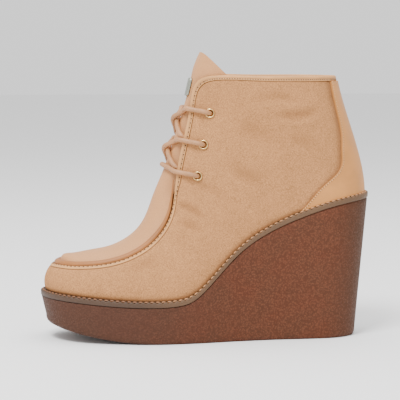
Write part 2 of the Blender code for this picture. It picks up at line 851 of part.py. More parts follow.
def build_eyelet(number, side, upper):
    """One brass eyelet, and the hole that it stands in."""
    centre, out = eyelet_frame(number, side)
    bore, barrel, rim = EYELET_HOLE / 2, EYELET_HOLE / 2 + EYELET_BARREL, EYELET_OUTER / 2
    seat = OVERLAY_CLEAR
    profile = (
        (bore, -WALL),
        (barrel, -WALL),
        (barrel, seat),
        (rim, seat),
        (rim, seat + EYELET_FLANGE * FLANGE_EDGE),
        ((rim + bore) / 2, seat + EYELET_FLANGE),
        (bore, seat + EYELET_FLANGE * FLANGE_LIP),
    )
    side_name = "lateral" if side < 0 else "medial"
    name = f"eyelet_{side_name}_{number + 1}"
    turned_solid(name, centre, out, profile, EYELET_SEGMENTS, "brass")
    first, second = axes_round(out)
    radius = (barrel + CLEAR) / math.cos(math.pi / EYELET_SEGMENTS)
    rings = []
    for height in (-CUTTER_REACH * WALL, CUTTER_REACH * WALL):
        ring = []
        for k in range(EYELET_SEGMENTS):
            angle = 2 * math.pi * k / EYELET_SEGMENTS
            radial = math.cos(angle) * first + math.sin(angle) * second
            ring.append(centre + out * height + radial * radius)
        rings.append(ring)
    cutter = section_solid(f"cut_{name}", rings, "brass", closed=False)
    cutter.hide_render = True
    cutter.display_type = "WIRE"
    cut = upper.modifiers.new(f"hole_{name}", "BOOLEAN")
    cut.operation = "DIFFERENCE"
    cut.solver = "EXACT"
    cut.object = cutter


def wall_over(lane, drop, height):
    """Point over the wall, at a distance below its top edge."""
    return layer(lane, share_below(lane, drop), height)


def arch_over(lane, across, height):
    """Point over the tongue's arch."""
    step = 2 * LANE_STEP
    run = front_arch(lane + step, across) - front_arch(lane - step, across)
    reach = 0.02
    side = front_arch(lane, min(across + reach, 1)) - front_arch(lane, max(across - reach, -1))
    return front_arch(lane, across) + unit(np.cross(run, side)) * height


def tube(name, route, diameter, colour):
    """Round lace along a smooth curve through its route."""
    lengths = np.append(0.0, np.cumsum([np.linalg.norm(b - a) for a, b in zip(route, route[1:])]))
    curve = Spline(lengths, route)
    count = max(6, math.ceil(lengths[-1] / (TUBE_STEP * diameter)))
    at = np.linspace(0, lengths[-1], count + 1)
    points = [curve(t) for t in at]
    sections = []
    up = np.array([0.0, 0.0, 1.0])
    for i, point in enumerate(points):
        run = unit(points[min(i + 1, count)] - points[max(i - 1, 0)])
        side = unit(np.cross(run, up))
        over = np.cross(side, run)
        ring = []
        for k in range(TUBE_SIDES):
            angle = 2 * math.pi * (k + 0.5) / TUBE_SIDES
            ring.append(point + (math.cos(angle) * side + math.sin(angle) * over) * diameter / 2)
        sections.append(ring)
    return section_solid(name, sections, colour, closed=False)


def eyelet_end(number, side):
    """Where a strand ends, just over its eyelet's rim."""
    centre, out = eyelet_frame(number, side)
    return centre + out * (OVERLAY_CLEAR + EYELET_FLANGE + LACE_CLEAR + LACE_DIAMETER / 2)


def strand_route(number, side, far, level):
    """Strand from an eyelet over the tongue, as far across as asked and down to a level."""
    out = eyelet_frame(number, side)[1]
    lift = LACE_CLEAR + LACE_DIAMETER / 2
    start = eyelet_end(number, side)
    edge_lane = throat_lane(start[2])
    here = mirrored(edge_lane, side)
    over_band = wall_over(here, THROAT_BAND, lift + BAND_PROUD)
    route = [start, (start + over_band) / 2 + out * LACE_CLEAR]
    route.append(wall_over(here, THROAT_BAND / 3, lift + BAND_PROUD + LACE_CLEAR))
    for share in STRAND_SHARES:
        across = side * (STRAND_NEAR * (1 - share) - far * share)
        lane = edge_lane + (level - edge_lane) * share
        route.append(arch_over(lane, across, lift + ARCH_LIFT * (1 - share)))
    return route


def throat_lane(height):
    """Lane where the throat's edge stands at a height."""
    lanes = np.linspace(rib_at(7), rib_at(11), THROAT_SAMPLES)
    return float(np.interp(height, [TOP_EDGE(lane)[2] for lane in lanes], lanes))


def join(target, other):
    """Union of two solids into the first."""
    mix = target.modifiers.new("join", "BOOLEAN")
    mix.operation = "UNION"
    mix.solver = "EXACT"
    mix.object = other
    other.hide_render = True
    other.display_type = "WIRE"


def build_laces():
    """Straight bar at the lowest eyelets and two crossings above it."""
    level = throat_lane(PLATFORM_TOP + EYELET_FIRST)
    halves = [strand_route(0, side, 0.0, level) for side in (-1, 1)]
    bar = halves[0] + halves[1][-2::-1]
    tube("lace_bar", bar, LACE_DIAMETER, "lace")
    for number, level in enumerate(("low", "high"), start=1):
        below = throat_lane(PLATFORM_TOP + EYELET_FIRST + (number - STRAND_DROP) * EYELET_PITCH)
        routes = [strand_route(number, side, STRAND_FAR, below) for side in (-1, 1)]
        first = tube(f"lace_cross_{level}", routes[0], LACE_DIAMETER, "lace")
        second = tube(f"strand_{level}", routes[1], LACE_DIAMETER, "lace")
        join(first, second)


def build_plate():
    """Plain metal plate on the front of the tongue."""
    heights = np.array([CREST(lane)[2] for lane in CREST_KNOTS])
    lane = float(np.interp(heights[-1] - PLATE_DROP, heights, CREST_KNOTS))
    lift = OVERLAY_CLEAR
    base = arch_over(lane, 0.0, lift)
    out = unit(arch_over(lane, 0.0, lift + 0.001) - base)
    up = unit(CREST(lane + LANE_STEP) - CREST(lane - LANE_STEP))
    across = np.cross(out, up)
    outline = []
    for sx, sy in ((-1, -1), (1, -1), (1, 1), (-1, 1)):
        x, y = sx * PLATE_WIDTH / 2, sy * PLATE_HEIGHT / 2
        pair = [(x - sx * PLATE_CORNER, y), (x, y - sy * PLATE_CORNER)]
        outline += pair if sx * sy < 0 else pair[::-1]
    sections = []
    for height in (0.0, PLATE_THICKNESS):
        sections.append([base + across * x + up * y + out * height for x, y in outline])
    return section_solid("tongue_plate", sections, "plate", closed=False)


def centre_plan():
    """Move the whole boot so that its footprint is centred on the origin."""
    ends = [plan_point(lane, WELT_REACH) for lane in loop_lanes()]
    for axis in (0, 1):
        values = [point[axis] for point in ends]
        shift = -(max(values) + min(values)) / 2
        for item in bpy.context.scene.objects:
            for vertex in item.data.vertices:
                vertex.co[axis] += shift


def main():
    """Build every piece of the boot."""
    for item in list(bpy.data.objects):
        bpy.data.objects.remove(item)
    build_wedge()
    build_welt()
    build_insole()
    upper = build_upper()
    build_apron_tongue()
    build_bead()
    build_binding()
    build_counter()
    for number in range(EYELET_COUNT):
        for side in (-1, 1):
            build_eyelet(number, side, upper)
    build_laces()
    build_plate()
    centre_plan()


main()
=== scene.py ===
"""Looks of a left lace-up wedge ankle boot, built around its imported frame.

The surfaces repeat the frame's own construction in finer steps. Ribs rise from the feather
edge, where the upper meets the welt, to the top edge, which runs along the moccasin seam,
up the throat and round the collar. Lengths are in metres, the toe points to -X, the outer
(lateral) side to -Y and up is +Z. A lane is a place round the boot and a share is a place
up one rib.
"""

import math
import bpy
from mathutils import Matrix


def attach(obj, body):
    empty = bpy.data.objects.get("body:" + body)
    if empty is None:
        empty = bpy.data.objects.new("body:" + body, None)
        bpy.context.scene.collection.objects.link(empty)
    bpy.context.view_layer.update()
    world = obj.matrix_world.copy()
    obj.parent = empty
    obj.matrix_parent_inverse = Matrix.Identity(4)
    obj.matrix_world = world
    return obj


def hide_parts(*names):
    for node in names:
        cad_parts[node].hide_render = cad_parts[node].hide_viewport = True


bl_info = {
    "name": "Wedge Ankle Boot",
    "version": (1, 0, 0),
    "blender": (4, 5, 0),
    "location": "View3D > Sidebar > Boot",
    "description": "Builds the leather, crepe, lace and stitching of a left wedge ankle boot",
    "category": "Add Mesh",
}

import bmesh
import bpy
import numpy as np
from mathutils import Vector

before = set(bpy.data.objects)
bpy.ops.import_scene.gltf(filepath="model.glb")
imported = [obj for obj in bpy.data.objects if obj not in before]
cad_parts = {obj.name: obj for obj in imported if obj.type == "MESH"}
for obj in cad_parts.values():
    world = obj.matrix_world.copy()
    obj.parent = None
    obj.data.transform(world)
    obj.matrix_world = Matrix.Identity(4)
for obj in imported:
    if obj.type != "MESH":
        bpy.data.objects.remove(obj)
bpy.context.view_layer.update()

# Driving sizes of the frame
BOOT_LENGTH = 0.2484
FEATHER_WIDTH = 0.0850
PLATFORM_TOP = 0.0320
HEEL_LIFT = 0.0770
UPPER_RISE = 0.1650
TOE_SPRING = 0.0140
FLAT_START = 0.0380
TOE_CURVE = 1.9
WELT_REACH = 0.0037
WELT_THICKNESS = 0.0042
WELT_LAP = 0.0080
WEDGE_INSET = 0.0005
BEVEL_RISE = 0.0050
BEVEL_RUN = 0.0027
INSOLE_THICKNESS = 0.0030
WALL = 0.0022
APRON_THICKNESS = 0.0020
TONGUE_GAP = 0.0010
FLAP_WIDTH = 0.0230
BEAD_WIDTH = 0.0042
BEAD_HEIGHT = 0.0038
BEAD_RAISE = 0.0005
BEAD_FADE = 0.45
SEAM_TURN = 0.25
THROAT_BAND = 0.0050
COLLAR_BAND = 0.0044
BAND_PROUD = 0.0004
COUNTER_THICKNESS = 0.0009
COUNTER_CLEAR = 0.0005
EYELET_SETBACK = 0.0155
EYELET_FIRST = 0.0910
EYELET_PITCH = 0.0231
EYELET_HOLE = 0.0046
EYELET_BARREL = 0.0005
EYELET_FLANGE = 0.0009
OVERLAY_CLEAR = 0.0004
PLATE_HEIGHT = 0.0140
PLATE_WIDTH = 0.0120
PLATE_THICKNESS = 0.0012
PLATE_CORNER = 0.0022
PLATE_DROP = 0.0263
CLEAR = 0.0003
CLIMB_FROM = 0.96

# Steps of the finer meshes, along the edges and paths that they follow
UPPER_STEP = 0.0014
APRON_STEP = 0.0013
BINDING_STEP = 0.0012
WEDGE_STEP = 0.0012
BEAD_STEP = 0.0009
STITCH_STEP = 0.0008
LACE_STEP = 0.0007
WELT_STEP = 0.0006
SOCK_STEP = 0.0020

# Rows and columns of the finer meshes
SUEDE_ROWS = 56
LINING_ROWS = 26
APRON_COLUMNS = 57
FLAP_COLUMNS = 8
COUNTER_ROWS = 60
COUNTER_COLUMNS = 150
BEAD_SIDES = 20
EYELET_SIDES = 40
HOLE_SIDES = 20

# Relief that the looks add to the forms, in metres
LIP_GROOVE_DEPTH = 0.0003
LIP_GROOVE_WIDTH = 0.0004
COUNTER_SEAT = 0.0001
COUNTER_BEVEL = 0.0007
COUNTER_STITCH_INSET = 0.0014
THROAT_STITCH_INSET = 0.0012
STITCH_PROUD = 0.00014
STITCH_SUNK = 0.00002
WELT_NOTCH = 0.0010
WELT_STITCH_INSET = 0.0016
WELT_THREAD = 0.0011
BARREL_PAST = 0.0004
PLATE_SEAT = 0.0001
LACE_CLIMB = 0.0028
LACE_SEAT = 0.0001

# Relief that is a share of a piece's own size
BEAD_GATHER = 0.035
BEAD_TIP_FADE = 0.75
TONGUE_EDGE_ROUND = 0.55
COUNTER_EDGE_THIN = 0.45
LACE_FLAT = 0.42

# How deep and how wide painted shade lies at seams, folds and hidden edges, from 0 to 1 and in metres
LIP_SHADE = 0.8
FOOT_SHADE = 0.85
FOOT_SHADE_HEIGHT = 0.0022
COUNTER_SHADE = 0.55
COUNTER_SHADE_LANES = 0.02444
CUT_EDGE_SHADE = 0.5
CUT_EDGE_SHADE_WIDTH = 0.0005
SEWN_SHADE = 0.3
SEWN_SHADE_WIDTH = 0.0004
THROAT_SHADE = 0.45
FOLD_SHADE_DEPTH = 0.0008

# Plan of the feather edge: along is a share of the upper's length, lateral and medial are
# shares of the feather width, floor_inset is how far the tread lies inside the welt's edge.
FEATHER_COLUMNS = ("along", "lateral", "medial", "floor_inset")
FEATHER_ROWS = {
    "toe_tip": (0.000, -0.082, 0.082, 0.045),
    "toe_corner": (0.0145, 0.106, 0.247, 0.042),
    "toe_round": (0.052, 0.259, 0.376, 0.038),
    "toe_side": (0.118, 0.382, 0.453, 0.035),
    "vamp": (0.210, 0.459, 0.488, 0.033),
    "ball": (0.309, 0.500, 0.488, 0.028),
    "joint": (0.409, 0.494, 0.447, 0.028),
    "waist": (0.508, 0.447, 0.382, 0.030),
    "arch": (0.600, 0.398, 0.331, 0.033),
    "waist_back": (0.683, 0.370, 0.322, 0.038),
    "seat_front": (0.749, 0.360, 0.328, 0.043),
    "seat": (0.807, 0.359, 0.338, 0.048),
    "quarter": (0.857, 0.352, 0.340, 0.054),
    "heel": (0.903, 0.331, 0.331, 0.065),
    "heel_round": (0.9585, 0.253, 0.256, 0.090),
    "heel_corner": (0.991, 0.129, 0.133, 0.109),
    "heel_back": (1.000, 0.000, 0.000, 0.114),
}

# Top edge of the same ribs, and where each rib's two Bezier handles stand.
TOP_COLUMNS = ("along", "lateral", "medial", "rise", "low", "low_out", "high", "high_out")
TOP_ROWS = {
    "toe_tip": (0.0249, -0.047, 0.047, 0.1485, 0.36, 0.062, 0.85, 0.052),
    "toe_corner": (0.0436, 0.129, 0.212, 0.150, 0.36, 0.063, 0.85, 0.053),
    "toe_round": (0.0788, 0.241, 0.294, 0.150, 0.35, 0.066, 0.83, 0.056),
    "toe_side": (0.143, 0.324, 0.353, 0.156, 0.35, 0.070, 0.80, 0.059),
    "vamp": (0.218, 0.347, 0.359, 0.176, 0.34, 0.076, 0.78, 0.065),
    "ball": (0.2925, 0.335, 0.335, 0.224, 0.33, 0.082, 0.75, 0.070),
    "joint": (0.3465, 0.306, 0.306, 0.294, 0.33, 0.080, 0.72, 0.070),
    "waist": (0.3826, 0.270, 0.270, 0.394, 0.33, 0.066, 0.70, 0.088),
    "arch": (0.397, 0.233, 0.233, 0.542, 0.33, 0.062, 0.70, 0.124),
    "waist_back": (0.417, 0.2035, 0.2035, 0.691, 0.33, 0.064, 0.70, 0.150),
    "seat_front": (0.4405, 0.176, 0.176, 0.845, 0.33, 0.064, 0.70, 0.162),
    "seat": (0.4580, 0.165, 0.165, 0.960, 0.33, 0.062, 0.70, 0.146),
    "quarter": (0.5085, 0.276, 0.276, 1.000, 0.33, 0.058, 0.68, 0.092),
    "heel": (0.641, 0.382, 0.382, 1.000, 0.32, 0.056, 0.68, 0.036),
    "heel_round": (0.782, 0.368, 0.368, 1.000, 0.31, 0.072, 0.69, 0.004),
    "heel_corner": (0.8735, 0.224, 0.224, 1.000, 0.31, 0.075, 0.69, -0.020),
    "heel_back": (0.9090, 0.000, 0.000, 1.000, 0.307, 0.075, 0.693, -0.026),
}

# Centre line of the apron and tongue. Fullness is the power of the cross arch, and flap is
# how wide the tongue reaches behind the throat's edge, as a share of the flap width.
CREST_COLUMNS = ("rib", "along", "rise", "fullness", "flap")
CREST_ROWS = {
    "toe_corner": (1.0, 0.0560, 0.1880, 2.4, 0.0),
    "toe_round": (2.0, 0.0871, 0.1940, 2.5, 0.0),
    "toe_side": (3.0, 0.1432, 0.2073, 2.6, 0.0),
    "vamp": (4.0, 0.2075, 0.2273, 2.6, 0.0),
    "ball": (5.0, 0.2739, 0.2848, 2.5, 0.0),
    "joint": (6.0, 0.3120, 0.3636, 2.4, 0.0),
    "throat_base": (7.0, 0.3357, 0.4576, 2.3, 0.0),
    "low_throat": (8.0, 0.3676, 0.5697, 2.3, 0.30),
    "mid_throat": (9.0, 0.3979, 0.6970, 2.3, 0.65),
    "high_throat": (10.0, 0.4286, 0.8424, 2.3, 1.0),
    "throat_top": (11.0, 0.4510, 0.9580, 2.4, 1.0),
    "above_collar": (11.8, 0.4640, 1.0400, 2.9, 0.85),
    "peak": (12.35, 0.4842, 1.1050, 3.8, 0.60),
}
TONGUE_TOP_RIB = 12.35
DIVE_START = 7.2
DIVE_END = 7.8
BEAD_FADE_START = 5.5
BEAD_END = 7.1
BEAD_TIP = 7.9
BAND_START = 7.0
BAND_FULL = 8.0
COLLAR_BAND_RIB = 12.0
LIP_TURN_START = 6.9
LIP_TURN_END = 7.7
STITCH_TURN_END = 8.1
FLAP_FULL = 8.0
SEAM_STITCH_END = 11.5
COLLAR_STITCH_START = 11.75

# Top of the sole: along is a share of the boot's length, lift a share of the heel lift.
SOLE_TOP_ROWS = (
    (0.000, 0.060),
    (0.100, 0.038),
    (0.200, 0.013),
    (0.340, 0.000),
    (0.395, 0.011),
    (0.440, 0.053),
    (0.490, 0.186),
    (0.539, 0.355),
    (0.588, 0.508),
    (0.637, 0.623),
    (0.709, 0.746),
    (0.782, 0.843),
    (0.880, 0.941),
    (1.000, 1.004),
)

# Front edge of the heel counter: rib number at each share of the height.
COUNTER_EDGE_ROWS = (
    (0.0, 10.55),
    (0.064, 11.7),
    (0.157, 13.1),
    (0.350, 14.05),
    (0.487, 14.4),
    (0.727, 14.75),
    (1.0, 15.0),
)

# Soft folds of the upper in millimetres: side (-1 lateral, 1 medial), the two ends in X and
# Z, how far the middle bows, the trough's half width and its depth. A trough has a ridge on
# each side, at so many half widths and of such a share of its depth. A fold keeps a little
# depth at its ends, stays off the middle of the boot, and dies out below the lip, over the
# welt and before the counter: the last three are a length, a share of the rib and lanes.
FOLD_RIDGE_AT = 1.9
FOLD_RIDGE = 0.45
FOLD_END = 0.08
FOLD_SIDE_START = 0.004
FOLD_OFF_LIP = 0.004
FOLD_OFF_WELT = 0.08
FOLD_OFF_COUNTER = 0.25
FOLD_COLUMNS = ("side", "x0", "z0", "x1", "z1", "bow", "width", "depth")
FOLD_ROWS = (
    (-1, 50.0, 168.5, 84.0, 173.5, -3.0, 3.4, 0.75),
    (-1, 34.0, 181.0, 66.0, 178.0, 2.0, 4.0, 0.30),
    (-1, -25.0, 103.5, -5.0, 92.5, 1.0, 2.6, 0.55),
    (-1, -25.0, 88.5, -7.0, 83.0, 1.0, 2.8, 0.40),
    (-1, -14.0, 118.0, 10.0, 108.0, 2.0, 4.0, 0.28),
    (-1, 15.0, 131.0, 42.0, 119.0, -2.0, 6.0, 0.35),
    (-1, 58.0, 150.0, 84.0, 143.0, 2.0, 6.0, 0.30),
    (-1, 20.0, 158.0, 48.0, 150.0, 2.0, 6.5, 0.28),
    (-1, -60.0, 55.0, -38.0, 60.0, 2.0, 5.0, 0.25),
    (1, 46.0, 170.0, 82.0, 166.0, 3.0, 3.6, 0.70),
    (1, 30.0, 183.0, 58.0, 180.0, 2.0, 4.0, 0.30),
    (1, -26.0, 100.0, -4.0, 91.0, 1.5, 2.8, 0.60),
    (1, -24.0, 86.0, -4.0, 78.0, 1.0, 3.0, 0.45),
    (1, -12.0, 120.0, 14.0, 110.0, 2.0, 4.0, 0.30),
    (1, 18.0, 130.0, 46.0, 121.0, -2.0, 6.0, 0.35),
    (1, 56.0, 148.0, 84.0, 140.0, 2.0, 6.0, 0.30),
)


class Spline:
    """Smooth curve through knots: natural at its ends, or closed when a period is given."""

    def __init__(self, knots, values, period=None):
        self.knots = np.asarray(knots, dtype=float)
        self.values = np.asarray(values, dtype=float).reshape(len(self.knots), -1)
        self.period = period
        if period:
            self.knots = np.append(self.knots, self.knots[0] + period)
            self.values = np.vstack([self.values, self.values[:1]])
        self.bends = self.solve()

    def solve(self):
        """Second derivatives that make the curve's slope and bend continuous."""
        gaps = np.diff(self.knots)
        slopes = np.diff(self.values, axis=0) / gaps[:, None]
        count = len(self.knots)
        matrix = np.zeros((count, count))
        right = np.zeros((count, self.values.shape[1]))
        for i in range(1, count - 1):
            matrix[i, i - 1 : i + 2] = gaps[i - 1], 2 * (gaps[i - 1] + gaps[i]), gaps[i]
            right[i] = 6 * (slopes[i] - slopes[i - 1])
        if self.period:
            matrix[0, 0], matrix[0, -1] = 1, -1
            matrix[-1, 0], matrix[-1, 1] = 2 * gaps[0], gaps[0]
            matrix[-1, -2], matrix[-1, -1] = gaps[-1], 2 * gaps[-1]
            right[-1] = 6 * (slopes[0] - slopes[-1])
        else:
            matrix[0, 0] = matrix[-1, -1] = 1
        return np.linalg.solve(matrix, right)

    def __call__(self, at):
        """Points of the curve, one row for each parameter."""
        at = np.atleast_1d(np.asarray(at, dtype=float))
        if self.period:
            at = self.knots[0] + (at - self.knots[0]) % self.period
        i = np.clip(np.searchsorted(self.knots, at) - 1, 0, len(self.knots) - 2)
        gap = (self.knots[i + 1] - self.knots[i])[:, None]
        b = (at - self.knots[i])[:, None] / gap
        a = 1 - b
        blend = (a**3 - a) * self.bends[i] + (b**3 - b) * self.bends[i + 1]
        return a * self.values[i] + b * self.values[i + 1] + blend * gap**2 / 6


def unit(vectors):
    """Vectors of length one along the last axis."""
    return vectors / np.maximum(np.linalg.norm(vectors, axis=-1, keepdims=True), 1e-12)


def ramp(value, low, high):
    """Share of the way from low to high, held at 0 and 1."""
    return np.clip((value - low) / (high - low), 0.0, 1.0)


def ease(value, low, high):
    """Ramp with soft ends."""
    t = ramp(value, low, high)
    return t * t * (3 - 2 * t)


def bell(value, width):
    """Soft bump of height one round zero, with its half width."""
    return np.exp(-((value / width) ** 2))


def travel(points):
    """Distance run along a line of points."""
    steps = np.linalg.norm(np.diff(points, axis=0), axis=1)
    return np.append(0.0, np.cumsum(steps))


UPPER_LENGTH = BOOT_LENGTH - 2 * WELT_REACH
RIB_NAMES = list(FEATHER_ROWS)
RIB_COUNT = len(RIB_NAMES)
SOLE_TOP = Spline([row[0] for row in SOLE_TOP_ROWS], [row[1] for row in SOLE_TOP_ROWS])


def sole_top(x):
    """Height of the welt's top at x."""
    share = np.clip(np.asarray(x, dtype=float) / BOOT_LENGTH + 0.5, 0.0, 1.0)
    return PLATFORM_TOP + HEEL_LIFT * SOLE_TOP(share.ravel())[:, 0].reshape(share.shape)


def tread(x):
    """Height of the tread at x: flat, with the toe curved up."""
    return TOE_SPRING * ramp(-x - FLAT_START, 0.0, BOOT_LENGTH / 2 - FLAT_START) ** TOE_CURVE


def feather_point(name, side):
    """Feather edge of one rib on one side, -1 lateral or 1 medial."""
    row = dict(zip(FEATHER_COLUMNS, FEATHER_ROWS[name]))
    x = (row["along"] - 0.5) * UPPER_LENGTH
    share = row["lateral"] if side < 0 else row["medial"]
    return np.array([x, side * share * FEATHER_WIDTH, float(sole_top(x)) + CLEAR])


def top_point(name, side):
    """Top edge of one rib on one side."""
    row = dict(zip(TOP_COLUMNS, TOP_ROWS[name]))
    share = row["lateral"] if side < 0 else row["medial"]
    height = PLATFORM_TOP + row["rise"] * UPPER_RISE
    return np.array([(row["along"] - 0.5) * UPPER_LENGTH, side * share * FEATHER_WIDTH, height])


def rib_knots():
    """Parameter of each rib, from the mean length of the gaps between ribs."""
    knots = [0.0]
    for first, second in zip(RIB_NAMES, RIB_NAMES[1:]):
        lengths = []
        for side in (-1, 1):
            lengths.append(np.linalg.norm(feather_point(second, side) - feather_point(first, side)))
            lengths.append(np.linalg.norm(top_point(second, side) - top_point(first, side)))
        knots.append(knots[-1] + math.sqrt(np.mean(lengths)))
    return knots


LOOP = [(name, -1) for name in RIB_NAMES] + [(name, 1) for name in RIB_NAMES[-2:0:-1]]
KNOTS = rib_knots()
SPAN = KNOTS[-1]
LOOP_KNOTS = KNOTS + [2 * SPAN - knot for knot in KNOTS[-2:0:-1]]
LANE_STEP = SPAN * 1e-3
SLOPE_REACH = 0.02


def closed_spline(points):
    """Closed curve through one point of each rib, in loop order."""
    return Spline(LOOP_KNOTS, points, period=2 * SPAN)


def rib_at(number):
    """Lane of a rib number, which may lie between two ribs."""
    return float(np.interp(number, range(RIB_COUNT), KNOTS))


def near_lane(lanes):
    """The same place on the lateral side."""
    folded = np.asarray(lanes) % (2 * SPAN)
    return np.minimum(folded, 2 * SPAN - folded)


def mirrored(lane, side):
    """Lane of a lateral lane on the given side."""
    return lane if side < 0 else 2 * SPAN - lane


FEATHER = closed_spline([feather_point(name, side) for name, side in LOOP])
TOP_EDGE = closed_spline([top_point(name, side) for name, side in LOOP])
FLOOR_INSET = closed_spline([[FEATHER_ROWS[name][3]] for name, _ in LOOP])


def plan_normals(lanes):
    """Outward direction of the feather edge, in plan."""
    run = FEATHER(lanes + LANE_STEP) - FEATHER(lanes - LANE_STEP)
    return unit(np.column_stack([run[:, 1], -run[:, 0], np.zeros(len(run))]))


def handles(which):
    """Curve through one Bezier handle of every rib: low or high."""
    points = []
    for (name, side), knot in zip(LOOP, LOOP_KNOTS):
        row = dict(zip(TOP_COLUMNS, TOP_ROWS[name]))
        foot, head = feather_point(name, side), top_point(name, side)
        out = plan_normals(np.array([knot]))[0] * row[which + "_out"] * FEATHER_WIDTH
        points.append(foot + (head - foot) * row[which] + out)
    return closed_spline(points)


LOW_HANDLE = handles("low")
HIGH_HANDLE = handles("high")
RIB_STEPS = np.linspace(0.0, 1.0, 65)


def bezier(corners, t):
    """Points of the ribs' curves at the parameters of each row."""
    t = t[..., None]
    a, b, c, d = (corner[:, None, :] for corner in corners)
    return a * (1 - t) ** 3 + 3 * b * t * (1 - t) ** 2 + 3 * c * t**2 * (1 - t) + d * t**3


def rib_table(lanes):
    """Curves of the ribs and how far each has run at its steps."""
    foot = FEATHER(lanes)
    foot[:, 2] = sole_top(foot[:, 0]) + CLEAR
    corners = (foot, LOW_HANDLE(lanes), HIGH_HANDLE(lanes), TOP_EDGE(lanes))
    points = bezier(corners, np.broadcast_to(RIB_STEPS, (len(lanes), len(RIB_STEPS))))
    steps = np.linalg.norm(np.diff(points, axis=1), axis=2)
    return corners, np.hstack([np.zeros((len(lanes), 1)), np.cumsum(steps, axis=1)])


def skin(lanes, shares):
    """Points of the outer skin: a row for each lane, a column for each share."""
    corners, lengths = rib_table(lanes)
    t = [np.interp(s * run[-1], run, RIB_STEPS) for s, run in zip(shares, lengths)]
    return bezier(corners, np.array(t))


def skin_normals(lanes, shares):
    """Outward directions of the skin."""
    step = 2 * LANE_STEP
    run = skin(lanes + step, shares) - skin(lanes - step, shares)
    above = np.minimum(shares + SLOPE_REACH, 1)
    below = np.maximum(shares - SLOPE_REACH, 0)
    return unit(np.cross(run, skin(lanes, above) - skin(lanes, below)))


def layer(lanes, shares, depth):
    """Points at a height over the skin, or under it when negative."""
    lanes = np.atleast_1d(np.asarray(lanes, dtype=float))
    shares = np.atleast_2d(np.asarray(shares, dtype=float))
    shares = np.broadcast_to(shares, (len(lanes), shares.shape[1]))
    depth = np.broadcast_to(np.asarray(depth, dtype=float), shares.shape)[..., None]
    points = skin(lanes, shares) + depth * skin_normals(lanes, shares)
    foot = FEATHER(lanes)[:, None, :] + depth * plan_normals(lanes)[:, None, :]
    foot[..., 2] = sole_top(foot[..., 0]) + CLEAR
    return np.where((shares <= 0.0)[..., None], foot, points)


def layer_point(lane, share, depth):
    """One point of a layer."""
    return layer([lane], [[share]], depth)[0, 0]


def rib_lengths(lanes):
    """Length of each rib from feather edge to top edge."""
    return rib_table(np.atleast_1d(lanes))[1][:, -1]


def share_below(lane, drop):
    """Share of one rib at a distance below its top edge."""
    return 1.0 - drop / rib_lengths(np.array([lane]))[0]


def band(lanes):
    """Width of the trim along the top edge: none at the toe seam, wider at the collar."""
    near = near_lane(lanes)
    throat = ramp(near, rib_at(BAND_START), rib_at(BAND_FULL)) * THROAT_BAND
    collar = ramp(near, rib_at(COLLAR_BAND_RIB - 1), rib_at(COLLAR_BAND_RIB))
    return throat + collar * (COLLAR_BAND - THROAT_BAND)


def even_lanes(start, end, step, head=0.5):
    """Lanes in even steps of length, measured at the feather edge (head 0) or top edge (1)."""
    fine = np.linspace(start, end, 2001)
    run = (1 - head) * travel(FEATHER(fine)) + head * travel(TOP_EDGE(fine))
    count = max(2, math.ceil(run[-1] / step))
    return np.interp(np.linspace(0, run[-1], count + 1), run, fine)


def plan_shift():
    """Shift that centres the welt's plan on the origin."""
    lanes = np.linspace(0, 2 * SPAN, 4000)
    rim = FEATHER(lanes) + WELT_REACH * plan_normals(lanes)
    middle = (rim.max(axis=0) + rim.min(axis=0)) / 2
    return np.array([-middle[0], -middle[1], 0.0])


SHIFT = plan_shift()


def edge_climb(lane):
    """Direction in which the skin meets its top edge."""
    ends = skin(np.array([lane]), np.array([[CLIMB_FROM, 1.0]]))[0]
    return unit(ends[1] - ends[0])


def bead_centre(lane):
    """Centre of the raised seam, beyond the wall's top edge."""
    return layer_point(lane, 1.0, -WALL / 2) + edge_climb(lane) * (CLEAR + BEAD_WIDTH / 2)


def apron_side(lane, crest_point):
    """Edge of the apron, on the far side of the raised seam."""
    centre = bead_centre(lane)
    inward = unit(unit(crest_point - centre) * (1 - SEAM_TURN) + edge_climb(lane) * SEAM_TURN)
    return centre + inward * (BEAD_WIDTH / 2 + CLEAR)


def crest_row_point(name):
    """Crest of one row of the table."""
    row = dict(zip(CREST_COLUMNS, CREST_ROWS[name]))
    x = (row["along"] - 0.5) * UPPER_LENGTH
    return np.array([x, 0.0, PLATFORM_TOP + row["rise"] * UPPER_RISE])


CREST_KNOTS = [0.0] + [rib_at(row[0]) for row in CREST_ROWS.values()]
CREST_POINTS = [crest_row_point(name) for name in CREST_ROWS]
SEAM_AIM = Spline(CREST_KNOTS[1:], CREST_POINTS)


def seam_side(lane, side):
    """Apron's edge beside the raised seam, aimed at the middle of the apron."""
    return apron_side(mirrored(lane, side), SEAM_AIM(max(lane, KNOTS[2]))[0])


CREST = Spline(CREST_KNOTS, [seam_side(0.0, -1)] + CREST_POINTS)


def crest_value(lane, column):
    """Value of one column of the crest table between its rows."""
    index = CREST_COLUMNS.index(column)
    values = [row[index] for row in CREST_ROWS.values()]
    return float(np.interp(lane, CREST_KNOTS, values[:1] + values))


def front_edge(lane, side):
    """Where the apron ends at the raised seam, or the tongue passes the throat's edge."""
    seam = seam_side(lane, side)
    under = layer_point(mirrored(lane, side), 1.0, -(WALL + TONGUE_GAP))
    return seam + (under - seam) * ramp(lane, rib_at(DIVE_START), rib_at(DIVE_END))


def front_arch(lane, across):
    """Points of the apron or tongue, from -1 at its lateral edge to 1 at its medial edge."""
    lateral, medial = front_edge(lane, -1), front_edge(lane, 1)
    middle = (lateral + medial) / 2
    across = np.atleast_1d(np.asarray(across, dtype=float))[:, None]
    swell = 1 - np.abs(across) ** crest_value(lane, "fullness")
    crest = CREST(lane)[0]
    crest[1] = middle[1]
    return middle + (medial - lateral) / 2 * across + (crest - middle) * swell


